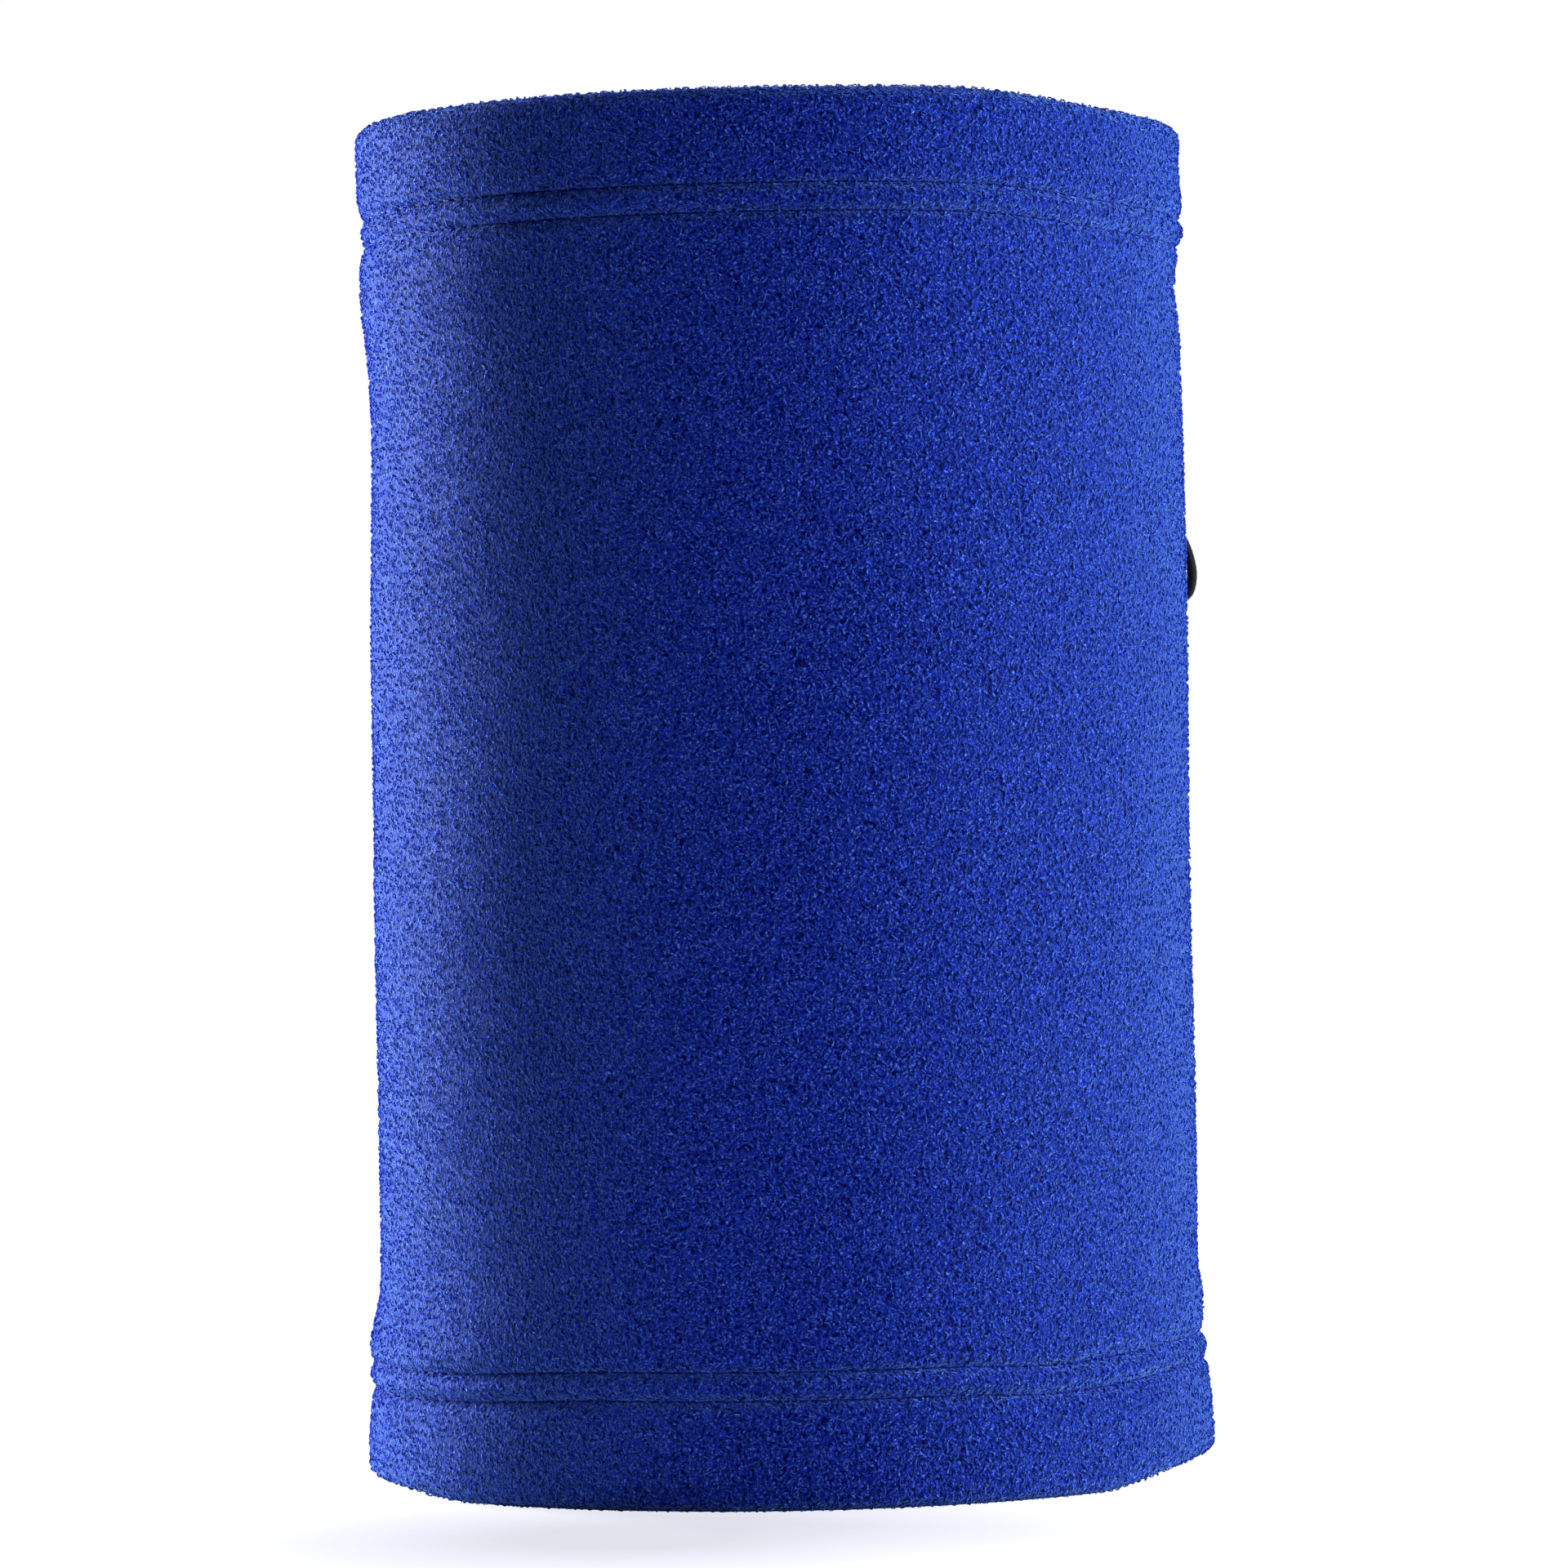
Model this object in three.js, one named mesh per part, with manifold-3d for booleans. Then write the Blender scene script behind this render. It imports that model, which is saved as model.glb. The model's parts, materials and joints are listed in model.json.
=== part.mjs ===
// A fleece neck gaiter: one panel of fleece closed into a tube by a back seam, with
// both ends turned in and coverstitched. An elastic drawcord runs inside the top hem,
// comes out through two eyelets at the back right, and hangs as a loop with a spring
// cord lock on it. Millimetres, +Z up along the tube, front towards -Y, and the origin
// at the middle of the bottom edge.
import * as THREE from 'three';
import { mergeVertices } from 'three/addons/utils/BufferGeometryUtils.js';
import Module from 'manifold-3d';

const wasm = await Module();
wasm.setup();

// ---- driving dimensions ----------------------------------------------------------
const CLEARANCE = 0.3;              // between pieces that touch on the real product

const HEIGHT = 264;
const BODY_RADIUS = 79.6;           // outer face of the fleece between the hems
const FLEECE = 2.8;                 // thickness of one layer
const LAYER_GAP = 0.4;              // between the wall and the turned-in layer
const WALL_SIDES = 48;              // facets round the tube

const TOP_HEM_SWELL = 0.9;          // how far each hem stands out past the body
const BOTTOM_HEM_SWELL = 2.9;
const TOP_HEM_DEPTH = 27;           // from the folded edge to the raw edge inside
const BOTTOM_HEM_DEPTH = 30;
const TOP_ROW = 18;                 // from the folded edge to the nearer needle row
const BOTTOM_ROW = 20.4;
const NEEDLE_GAUGE = 5.3;           // between the two needle rows
const TOP_FOLD_RADIUS = 3;
const BOTTOM_FOLD_RADIUS = 2.2;
const HEM_TAPER = 16;               // length over which a swollen hem meets the body

const THREAD = 0.7;                 // thickness of a needle thread
const LOOPER_THREAD = 0.5;          // thickness of the covering thread inside a hem
const STITCH_PINCH = 1.4;           // depth and half width of the groove it pulls in
const STITCH_PINCH_WIDTH = 1.3;

const CORD = 2;                     // diameter of the elastic drawcord
const CORD_SIDES = 8;
const CHANNEL = CORD + LOOPER_THREAD + 3 * CLEARANCE;   // room for the cord and its bartack
const CHANNEL_TAPER = 3.5;          // height over which the channel closes on the rows

const SEAM_ANGLE = 90;              // degrees round from +X: the middle of the back
const SEAM_ALLOWANCE = [7, 2.4];    // width and height of the ridge inside
const SEAM_VALLEY = 0.8;            // depth of the valley that it leaves outside

const BARTACK = [8, 4];             // width and height of the tack on the cord's ends

const EYELET_DROP = 10;             // from the top edge to the eyelets
const EYELET_SPACING = 12;
const EYELET_BORE = 5.2;
const EYELET_FLANGE = 10;
const EYELET_SHEET = 0.4;           // thickness of its brass sheet
const EYELET_CRUSH = 0.9;           // how far each side squeezes the fleece
const EYELET_SIDES = 16;
const EYELET_CROWN = 1;             // height of its domed flange
const WASHER = 0.5;

const LOCK_ANGLE = 36;              // degrees round from +X
const LOCK_DROP = 39;               // from the top edge to the lock
const LOCK_TILT = 20;               // degrees that the loop hangs out of plumb
const BARREL_RADIUS = 5.5;
const BARREL_END = 10.5;            // closed end and open end, from the cord's middle
const BARREL_MOUTH = 7;
const BARREL_WALL = 1.6;
const BARREL_SIDES = 20;
const SLOT_SPARE = 0.8;             // width of the lock's slots past the cord's
const PLUNGER_RADIUS = 3.5;
const PLUNGER_TRAVEL = 2.6;
const BUTTON = [4.4, 2.6];          // radius and thickness of the plunger's button
const LEG_SPACING = CORD + CLEARANCE;   // between the cord's two legs in the lock
const SPRING_WIRE = 0.4;
const SPRING_RADIUS = 2.4;
const SPRING_TURNS = 3;            // so that its coils still clear each other when pressed

const LABEL = [20, 36, 0.6];        // width, height, thickness
const LABEL_BOTTOM = 58;

// The drawcord's free loop, from the first eyelet to the second, as
// [across the legs, up along them, out from the wall], from the lock's middle.
const LOOP_ROUTE = [
  [-6.0, 27.9, -0.6], [-5.6, 25.4, 0.7], [-4.3, 21.6, 0.7], [-2.5, 17.9, 0.2],
  [-1.3, 14.2, 0.0], [-1.15, 10, 0.0], [-1.15, 0, 0.0], [-1.15, -12, 0.0],
  [-1.15, -24, 0.0], [-1.2, -31, 0.0], [-1.9, -38, 0.1], [-3.3, -44.5, 0.3],
  [-4.4, -50, 0.5], [-3.9, -54.4, 0.6], [-1.7, -57.2, 0.6],
  [1.7, -57.2, 0.6], [3.9, -54.4, 0.6], [4.4, -50, 0.5], [3.3, -44.5, 0.3],
  [1.9, -38, 0.1], [1.2, -31, 0.0], [1.15, -24, 0.0], [1.15, -12, 0.0],
  [1.15, 0, 0.0], [1.15, 10, 0.0], [1.3, 14.2, 0.0], [2.4, 18.6, 0.1],
  [3.9, 23.0, 0.2], [5.0, 27.2, 0.1], [5.4, 31.0, -1.3],
];

// ---- the wall's line ---------------------------------------------------------------
const TOP_ROWS = [HEIGHT - TOP_ROW - NEEDLE_GAUGE, HEIGHT - TOP_ROW];
const BOTTOM_ROWS = [BOTTOM_ROW, BOTTOM_ROW + NEEDLE_GAUGE];

// Radius of the outer face at a height, without the stitch grooves.
function wallRadius(z) {
  const top = THREE.MathUtils.smoothstep(z, TOP_ROWS[0] - HEM_TAPER, TOP_ROWS[1]);
  const above = THREE.MathUtils.smoothstep(z, BOTTOM_ROWS[0] - HEM_TAPER, BOTTOM_ROWS[1] + HEM_TAPER);
  return BODY_RADIUS + TOP_HEM_SWELL * top + BOTTOM_HEM_SWELL * (1 - above);
}

const innerRadius = (z) => wallRadius(z) - FLEECE;

// The turned-in layer lies against the wall, except where it bounds the cord's channel.
const turnedOuter = (z) => innerRadius(z) - LAYER_GAP;
const turnedInner = (z) => turnedOuter(z) - FLEECE;
const channelFloor = innerRadius(HEIGHT) - CHANNEL;

// ---- shared geometry ---------------------------------------------------------------
// Turns a profile of [radius, height] points, counterclockwise, about +Z.
function ring(profile, sides = WALL_SIDES) {
  const points = [...profile, profile[0]].map(([r, z]) => new THREE.Vector2(r, z));
  return new THREE.LatheGeometry(points, sides).rotateX(Math.PI / 2);
}

// An arc from one direction to another, in degrees, as profile points.
function arc(r, z, radius, from, to, steps = 3) {
  return Array.from({ length: steps + 1 }, (_, i) => {
    const t = THREE.MathUtils.degToRad(from + (to - from) * i / steps);
    return [r + radius * Math.cos(t), z + radius * Math.sin(t)];
  });
}

function circle(radius, sides) {
  const shape = new THREE.Shape();
  for (let i = 0; i < sides; i += 1) {
    const t = 2 * Math.PI * (i + 0.5) / sides;
    shape[i ? 'lineTo' : 'moveTo'](radius * Math.cos(t), radius * Math.sin(t));
  }
  return shape;
}

// A round section swept along a curve.
function sweep(curve, diameter, sides, steps) {
  const round = circle(diameter / 2 / Math.cos(Math.PI / sides), sides);
  return new THREE.ExtrudeGeometry(round, { steps, extrudePath: curve, bevelEnabled: false });
}

function solid(geometry) {
  const bare = geometry.index ? geometry.toNonIndexed() : geometry.clone();
  bare.deleteAttribute('normal');
  bare.deleteAttribute('uv');
  const merged = mergeVertices(bare, 1e-4);
  return new wasm.Manifold(new wasm.Mesh({
    numProp: 3,
    vertProperties: Float32Array.from(merged.attributes.position.array),
    triVerts: Uint32Array.from(merged.index.array),
  }));
}

function geometryOf(manifold) {
  const mesh = manifold.getMesh();
  const geometry = new THREE.BufferGeometry();
  geometry.setAttribute('position', new THREE.BufferAttribute(mesh.vertProperties, 3));
  geometry.setIndex(new THREE.BufferAttribute(mesh.triVerts, 1));
  return geometry;
}

const cut = (geometry, ...tools) =>
  geometryOf(tools.reduce((rest, tool) => rest.subtract(solid(tool)), solid(geometry)));

// ---- materials -----------------------------------------------------------------------
const material = (color, roughness, metalness = 0) =>
  new THREE.MeshStandardMaterial({ color, roughness, metalness });

const FLEECE_BLUE = material(0x2447ae, 0.95);
const THREAD_BLUE = material(0x1c3690, 0.7);
const CORD_BLACK = material(0x111113, 0.8);
const PLASTIC_BLACK = material(0x141416, 0.45);
const EYELET_BLACK = material(0x1d1d20, 0.4, 0.8);
const SPRING_STEEL = material(0xb4b6ba, 0.3, 1);
const LABEL_WHITE = material(0xe9e8e4, 0.7);

// ---- places --------------------------------------------------------------------------
const LOCK_RADIUS = wallRadius(HEIGHT) + CLEARANCE + BARREL_RADIUS;   // clears the hem
const LOCK_HEIGHT = HEIGHT - LOCK_DROP;
const EYELET_HEIGHT = HEIGHT - EYELET_DROP;
const EYELET_RADIUS = wallRadius(EYELET_HEIGHT);

// Matrix of a place on the wall: x goes round it, y up and z straight out of it.
function onWall(angle, radius, z) {
  const t = THREE.MathUtils.degToRad(angle);
  const round = new THREE.Vector3(-Math.sin(t), Math.cos(t), 0);
  const out = new THREE.Vector3(Math.cos(t), Math.sin(t), 0);
  return new THREE.Matrix4()
    .makeBasis(round, new THREE.Vector3(0, 0, 1), out)
    .setPosition(out.x * radius, out.y * radius, z);
}

// The lock's own axes: x along its barrel, y up along the cord's legs, z outwards.
const lockFrame = onWall(LOCK_ANGLE, LOCK_RADIUS, LOCK_HEIGHT)
  .multiply(new THREE.Matrix4().makeRotationZ(-THREE.MathUtils.degToRad(LOCK_TILT)));

// The eyelets lie either side of the point where the loop's line reaches their height.
const legRise = (EYELET_HEIGHT - LOCK_HEIGHT) * Math.tan(THREE.MathUtils.degToRad(LOCK_TILT));
const perDegree = THREE.MathUtils.degToRad(1) * LOCK_RADIUS;
const EYELET_ANGLES = [-1, 1].map((side) =>
  LOCK_ANGLE + (legRise + side * EYELET_SPACING / 2) / perDegree);

const group = new THREE.Group();

function add(name, geometry, finish, frame) {
  const mesh = new THREE.Mesh(geometry, finish);
  mesh.name = name;
  if (frame) frame.decompose(mesh.position, mesh.quaternion, mesh.scale);
  group.add(mesh);
}

// ---- fleece body -----------------------------------------------------------------------
// The panel's section: up the outer face, over the top fold, down the turned-in layer to
// its raw edge, back up it and down the wall's inner face, and round the bottom hem.
function fleeceSection() {
  const groove = (z) => [
    [wallRadius(z - STITCH_PINCH_WIDTH), z - STITCH_PINCH_WIDTH],
    [wallRadius(z) - STITCH_PINCH, z],
    [wallRadius(z + STITCH_PINCH_WIDTH), z + STITCH_PINCH_WIDTH],
  ];
  const heights = (from, to, steps) =>
    Array.from({ length: steps }, (_, i) => from + (to - from) * (i + 1) / (steps + 1));
  const line = (radius, ...places) => places.map((z) => [radius(z), z]);
  const topInner = channelFloor - FLEECE;
  const rawTop = HEIGHT - TOP_HEM_DEPTH;
  const rawBottom = BOTTOM_HEM_DEPTH;
  const channelEnd = TOP_ROWS[1] + STITCH_PINCH_WIDTH;
  const margin = 3 * STITCH_PINCH_WIDTH;
  const middle = heights(BOTTOM_ROWS[1] + margin, TOP_ROWS[0] - margin, 3);
  const bottomSewn = [BOTTOM_ROWS[0] - THREAD, BOTTOM_ROWS[1] + THREAD];
  return [
    ...arc(wallRadius(0) - BOTTOM_FOLD_RADIUS, BOTTOM_FOLD_RADIUS, BOTTOM_FOLD_RADIUS, -90, 0),
    ...groove(BOTTOM_ROWS[0]),
    ...groove(BOTTOM_ROWS[1]),
    ...line(wallRadius, ...middle),
    ...groove(TOP_ROWS[0]),
    ...groove(TOP_ROWS[1]),
    ...arc(wallRadius(HEIGHT) - TOP_FOLD_RADIUS, HEIGHT - TOP_FOLD_RADIUS, TOP_FOLD_RADIUS, 0, 90),
    ...arc(topInner + TOP_FOLD_RADIUS, HEIGHT - TOP_FOLD_RADIUS, TOP_FOLD_RADIUS, 90, 180),
    [topInner, channelEnd + CHANNEL_TAPER],
    ...line(turnedInner, channelEnd, TOP_ROWS[0] - THREAD, rawTop),
    ...line(turnedOuter, rawTop, TOP_ROWS[0] - THREAD, channelEnd),
    [channelFloor, channelEnd + CHANNEL_TAPER],
    [channelFloor, HEIGHT - FLEECE],
    ...line(innerRadius, HEIGHT - FLEECE, channelEnd, TOP_ROWS[0] - THREAD, rawTop),
    ...line(innerRadius, ...middle.toReversed()),
    ...line(innerRadius, rawBottom, ...bottomSewn.toReversed(), FLEECE),
    ...line(turnedOuter, FLEECE, ...bottomSewn, rawBottom),
    ...line(turnedInner, rawBottom, ...bottomSewn.toReversed()),
    ...arc(turnedInner(0) + BOTTOM_FOLD_RADIUS, BOTTOM_FOLD_RADIUS, BOTTOM_FOLD_RADIUS, 180, 270),
  ];
}

// The hole through the wall for an eyelet, and the dishes that it squeezes in each side.
function eyeletCuts() {
  const plug = (radius, from, to) => new THREE.CylinderGeometry(radius, radius, to - from, EYELET_SIDES)
    .rotateX(Math.PI / 2)
    .translate(0, 0, (from + to) / 2);
  const dish = EYELET_FLANGE / 2 + CLEARANCE;
  const bore = EYELET_BORE / 2 + EYELET_SHEET + CLEARANCE;
  const inside = -FLEECE - CHANNEL / 3;
  return EYELET_ANGLES.flatMap((angle) => {
    const frame = onWall(angle, EYELET_RADIUS, EYELET_HEIGHT);
    return [
      plug(bore, inside, FLEECE).applyMatrix4(frame),
      plug(dish, -EYELET_CRUSH, FLEECE).applyMatrix4(frame),
      plug(dish, inside, EYELET_CRUSH - FLEECE).applyMatrix4(frame),
    ];
  });
}

// The seam's two edges stand as a ridge inside and leave a shallow valley outside.
function seamRidge() {
  const [width, height] = SEAM_ALLOWANCE;
  const from = BOTTOM_HEM_DEPTH + CLEARANCE;
  const to = HEIGHT - TOP_HEM_DEPTH - CLEARANCE;
  const root = FLEECE / 2;
  return new THREE.BoxGeometry(width, to - from, height + root)
    .translate(0, 0, (root - height) / 2)
    .applyMatrix4(onWall(SEAM_ANGLE, innerRadius(HEIGHT / 2), (from + to) / 2));
}

function seamValley() {
  const wedge = new THREE.Shape([
    new THREE.Vector2(0, -SEAM_VALLEY),
    new THREE.Vector2(2 * SEAM_VALLEY, SEAM_VALLEY),
    new THREE.Vector2(-2 * SEAM_VALLEY, SEAM_VALLEY),
  ]);
  const from = BOTTOM_HEM_DEPTH;
  const length = HEIGHT - TOP_HEM_DEPTH - from;
  return new THREE.ExtrudeGeometry(wedge, { depth: length, bevelEnabled: false })
    .translate(0, BODY_RADIUS, from)
    .rotateZ(THREE.MathUtils.degToRad(SEAM_ANGLE - 90));
}

const wall = solid(ring(fleeceSection())).add(solid(seamRidge()));
add('fleece_body', cut(geometryOf(wall), seamValley(), ...eyeletCuts()), FLEECE_BLUE);

// ---- hem threads -------------------------------------------------------------------------
// Each needle thread lies round the tube in the groove that its stitches pull in.
function needleThread(z) {
  const middle = wallRadius(z) - STITCH_PINCH + CLEARANCE + THREAD / 2;
  return ring(arc(middle, z, THREAD / 2, 0, 300, 5));
}

// The looper thread covers both rows on the turned-in layer, inside the tube.
function looperThread(rows) {
  const face = (z) => turnedInner(z) - CLEARANCE;
  const low = rows[0] - THREAD;
  const high = rows[1] + THREAD;
  return ring([
    [face(low) - LOOPER_THREAD, low],
    [face(low), low],
    [face(high), high],
    [face(high) - LOOPER_THREAD, high],
  ]);
}

add('top_hem_needle_thread_upper', needleThread(TOP_ROWS[1]), THREAD_BLUE);
add('top_hem_needle_thread_lower', needleThread(TOP_ROWS[0]), THREAD_BLUE);
add('top_hem_looper_thread', looperThread(TOP_ROWS), THREAD_BLUE);
add('bottom_hem_needle_thread_upper', needleThread(BOTTOM_ROWS[1]), THREAD_BLUE);
add('bottom_hem_needle_thread_lower', needleThread(BOTTOM_ROWS[0]), THREAD_BLUE);
add('bottom_hem_looper_thread', looperThread(BOTTOM_ROWS), THREAD_BLUE);

// ---- back seam thread and care label -------------------------------------------------------
// The overlock thread lies on the face of the seam's ridge, over all its length.
function seamThread() {
  const [width, height] = SEAM_ALLOWANCE;
  const length = HEIGHT - TOP_HEM_DEPTH - BOTTOM_HEM_DEPTH - 2 * CLEARANCE;
  const depth = height + CLEARANCE + LOOPER_THREAD / 2;
  return new THREE.BoxGeometry(width - 2 * THREAD, length, LOOPER_THREAD).translate(0, 0, -depth);
}

add('back_seam_thread', seamThread(), THREAD_BLUE,
  onWall(SEAM_ANGLE, innerRadius(HEIGHT / 2), (HEIGHT - TOP_HEM_DEPTH + BOTTOM_HEM_DEPTH) / 2));

// A folded ribbon caught in the back seam, lying on the wall beside the ridge.
function careLabel() {
  const [width, height, thickness] = LABEL;
  const outer = innerRadius(LABEL_BOTTOM + height) - CLEARANCE;
  const edge = (SEAM_ALLOWANCE[0] / 2 + CLEARANCE) / outer;
  const start = THREE.MathUtils.degToRad(SEAM_ANGLE) - edge;
  const end = start - width / outer;
  const shape = new THREE.Shape();
  shape.absarc(0, 0, outer, end, start, false);
  shape.absarc(0, 0, outer - thickness, start, end, true);
  return new THREE.ExtrudeGeometry(shape, { depth: height, curveSegments: 8, bevelEnabled: false })
    .translate(0, 0, LABEL_BOTTOM);
}

add('care_label', careLabel(), LABEL_WHITE);

// ---- eyelets ----------------------------------------------------------------------------------
// Each eyelet is a flanged brass tube, set from outside and rolled over its washer inside
// the channel. Profiles are [radius, height] along the eyelet's own axis.
const seat = -EYELET_CRUSH + CLEARANCE;
const washerTop = EYELET_CRUSH - FLEECE - CLEARANCE;

function eyelet() {
  const bore = EYELET_BORE / 2;
  const tube = bore + EYELET_SHEET;
  const rolled = washerTop - WASHER - CLEARANCE;
  const crown = seat + EYELET_CROWN;
  return ring([
    [bore, rolled - EYELET_SHEET],
    [tube + 2 * EYELET_SHEET, rolled - EYELET_SHEET],
    [tube + 2 * EYELET_SHEET, rolled],
    [tube, rolled],
    [tube, seat],
    [EYELET_FLANGE / 2, seat],
    [EYELET_FLANGE / 2, seat + EYELET_SHEET],
    [(EYELET_FLANGE / 2 + tube) / 2, crown],
    [tube, crown],
    [bore, seat + EYELET_SHEET],
  ], EYELET_SIDES);
}

function eyeletWasher() {
  const bore = EYELET_BORE / 2 + EYELET_SHEET + CLEARANCE;
  return ring([
    [bore, washerTop - WASHER],
    [EYELET_FLANGE / 2, washerTop - WASHER],
    [EYELET_FLANGE / 2, washerTop],
    [bore, washerTop],
  ], EYELET_SIDES);
}

['side', 'seam'].forEach((place, i) => {
  const frame = onWall(EYELET_ANGLES[i], EYELET_RADIUS, EYELET_HEIGHT);
  add(`eyelet_${place}`, eyelet(), EYELET_BLACK, frame);
  add(`eyelet_washer_${place}`, eyeletWasher(), EYELET_BLACK, frame);
});

// ---- drawcord ---------------------------------------------------------------------------------
// Both ends of the elastic are caught at the back seam. From there it runs round inside
// the channel in both directions, and turns out through the eyelets.
const CHANNEL_CORD_RADIUS = channelFloor + CLEARANCE + CORD / 2;
const TURN_RADIUS = 1.5 * CORD;
const TURN_STEPS = 5;
const LONG_RUN_STEPS = 70;
const SHORT_RUN_STEPS = 15;
const LOOP_STEPS = 64;

class HemRun extends THREE.Curve {
  constructor(eyeletAngle, seamAngle, steps) {
    super();
    this.side = Math.sign(seamAngle - eyeletAngle);
    this.eyelet = THREE.MathUtils.degToRad(eyeletAngle);
    this.from = THREE.MathUtils.degToRad(seamAngle) - this.side * CLEARANCE / CHANNEL_CORD_RADIUS;
    this.to = this.eyelet + this.side * TURN_RADIUS / CHANNEL_CORD_RADIUS;
    this.turnAt = 1 - TURN_STEPS / steps;
  }

  getPoint(t, point = new THREE.Vector3()) {
    if (t <= this.turnAt) {
      const angle = THREE.MathUtils.lerp(this.from, this.to, t / this.turnAt);
      return point.set(Math.cos(angle), Math.sin(angle), 0)
        .multiplyScalar(CHANNEL_CORD_RADIUS)
        .setZ(EYELET_HEIGHT);
    }
    const bend = Math.PI / 2 * (t - this.turnAt) / (1 - this.turnAt);
    const across = this.side * TURN_RADIUS * (1 - Math.sin(bend));
    const out = CHANNEL_CORD_RADIUS + TURN_RADIUS * (1 - Math.cos(bend));
    return point.set(out, across, EYELET_HEIGHT)
      .applyAxisAngle(new THREE.Vector3(0, 0, 1), this.eyelet);
  }

  // Steps follow t, so that the turn gets its own.
  getUtoTmapping(u) {
    return u;
  }
}

function hemRun(eyeletAngle, seamAngle, steps) {
  return sweep(new HemRun(eyeletAngle, seamAngle, steps), CORD, CORD_SIDES, steps);
}

add('drawcord_hem_run_long', hemRun(EYELET_ANGLES[0], SEAM_ANGLE - 360, LONG_RUN_STEPS), CORD_BLACK);
add('drawcord_hem_run_short', hemRun(EYELET_ANGLES[1], SEAM_ANGLE, SHORT_RUN_STEPS), CORD_BLACK);

// A block of thread tacks the cord's two ends to the wall at the seam.
add('drawcord_bartack',
  new THREE.BoxGeometry(...BARTACK, LOOPER_THREAD)
    .translate(0, 0, CORD / 2 + CLEARANCE + LOOPER_THREAD / 2),
  THREAD_BLUE, onWall(SEAM_ANGLE, CHANNEL_CORD_RADIUS, EYELET_HEIGHT));

// The free loop starts where the hem runs end, inside the eyelets.
function loopCurve() {
  const start = CHANNEL_CORD_RADIUS + TURN_RADIUS + CLEARANCE;
  const exits = EYELET_ANGLES.map((angle) => [0, CORD].map((out) =>
    new THREE.Vector3().setFromMatrixPosition(onWall(angle, start + out, EYELET_HEIGHT))));
  const hanging = LOOP_ROUTE.map((p) => new THREE.Vector3(...p).applyMatrix4(lockFrame));
  return new THREE.CatmullRomCurve3([...exits[0], ...hanging, ...exits[1].reverse()]);
}

add('drawcord_loop', sweep(loopCurve(), CORD, CORD_SIDES, LOOP_STEPS), CORD_BLACK);

// ---- cord lock --------------------------------------------------------------------------------
// Its spring pushes the plunger out, so the plunger's slot and the barrel's slot pinch
// the cord from opposite sides. Pressing the button in lines the two slots up.
const slotClear = LEG_SPACING / 2 + CORD / 2 + CLEARANCE;
const slotLength = 2 * slotClear + PLUNGER_TRAVEL;
const slotWidth = CORD + SLOT_SPARE;
const boreRadius = PLUNGER_RADIUS + CLEARANCE;
const boreFloor = BARREL_WALL - BARREL_END;
const plungerEnd = -slotClear - BARREL_WALL;

// Turns a profile of [radius, place along the barrel] about the lock's x axis.
const alongBarrel = (profile) => ring(profile, BARREL_SIDES).rotateY(Math.PI / 2);

function slot(from) {
  return new THREE.BoxGeometry(slotLength, 4 * BARREL_RADIUS, slotWidth)
    .translate(from + slotLength / 2, 0, 0);
}

function barrel() {
  const rim = 0.8;
  const grip = (x) =>
    [[BARREL_RADIUS, x - rim], [BARREL_RADIUS - rim / 2, x], [BARREL_RADIUS, x + rim]];
  return cut(alongBarrel([
    [0, -BARREL_END],
    ...arc(BARREL_RADIUS - rim, rim - BARREL_END, rim, -90, 0),
    ...grip(-slotLength),
    ...arc(BARREL_RADIUS - rim, BARREL_MOUTH - rim, rim, 0, 90),
    [boreRadius, BARREL_MOUTH],
    [boreRadius, boreFloor],
    [0, boreFloor],
  ]), slot(slotClear - slotLength));
}

function plunger() {
  const [radius, thickness] = BUTTON;
  const under = BARREL_MOUTH + PLUNGER_TRAVEL + CLEARANCE;
  const round = 1;
  return cut(alongBarrel([
    [0, plungerEnd],
    [PLUNGER_RADIUS, plungerEnd],
    [PLUNGER_RADIUS, under],
    [radius, under],
    ...arc(radius - round, under + thickness - round, round, 0, 90),
    [0, under + thickness],
  ]), slot(-slotClear));
}

class Helix extends THREE.Curve {
  constructor(from, to) {
    super();
    this.from = from;
    this.to = to;
  }

  getPoint(t, point = new THREE.Vector3()) {
    const turn = 2 * Math.PI * SPRING_TURNS * t;
    return point.set(
      this.from + (this.to - this.from) * t,
      SPRING_RADIUS * Math.cos(turn),
      SPRING_RADIUS * Math.sin(turn),
    );
  }
}

function spring() {
  const margin = CLEARANCE + SPRING_WIRE / 2;
  const stepsPerTurn = 12;
  return sweep(new Helix(boreFloor + margin, plungerEnd - margin),
    SPRING_WIRE, 6, stepsPerTurn * SPRING_TURNS);
}

add('cord_lock_barrel', barrel(), PLASTIC_BLACK, lockFrame);
add('cord_lock_plunger', plunger(), PLASTIC_BLACK, lockFrame);
add('cord_lock_spring', spring(), SPRING_STEEL, lockFrame);

export default group;
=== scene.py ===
# A fleece neck gaiter with an elastic drawcord and a spring cord lock, built round its
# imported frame. Places are worked out in millimetres, +Z up the tube, and every mesh is
# made in metres.
import json
import math
import random

import bmesh
import bpy
import numpy as np
from mathutils import Matrix, Vector

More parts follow.
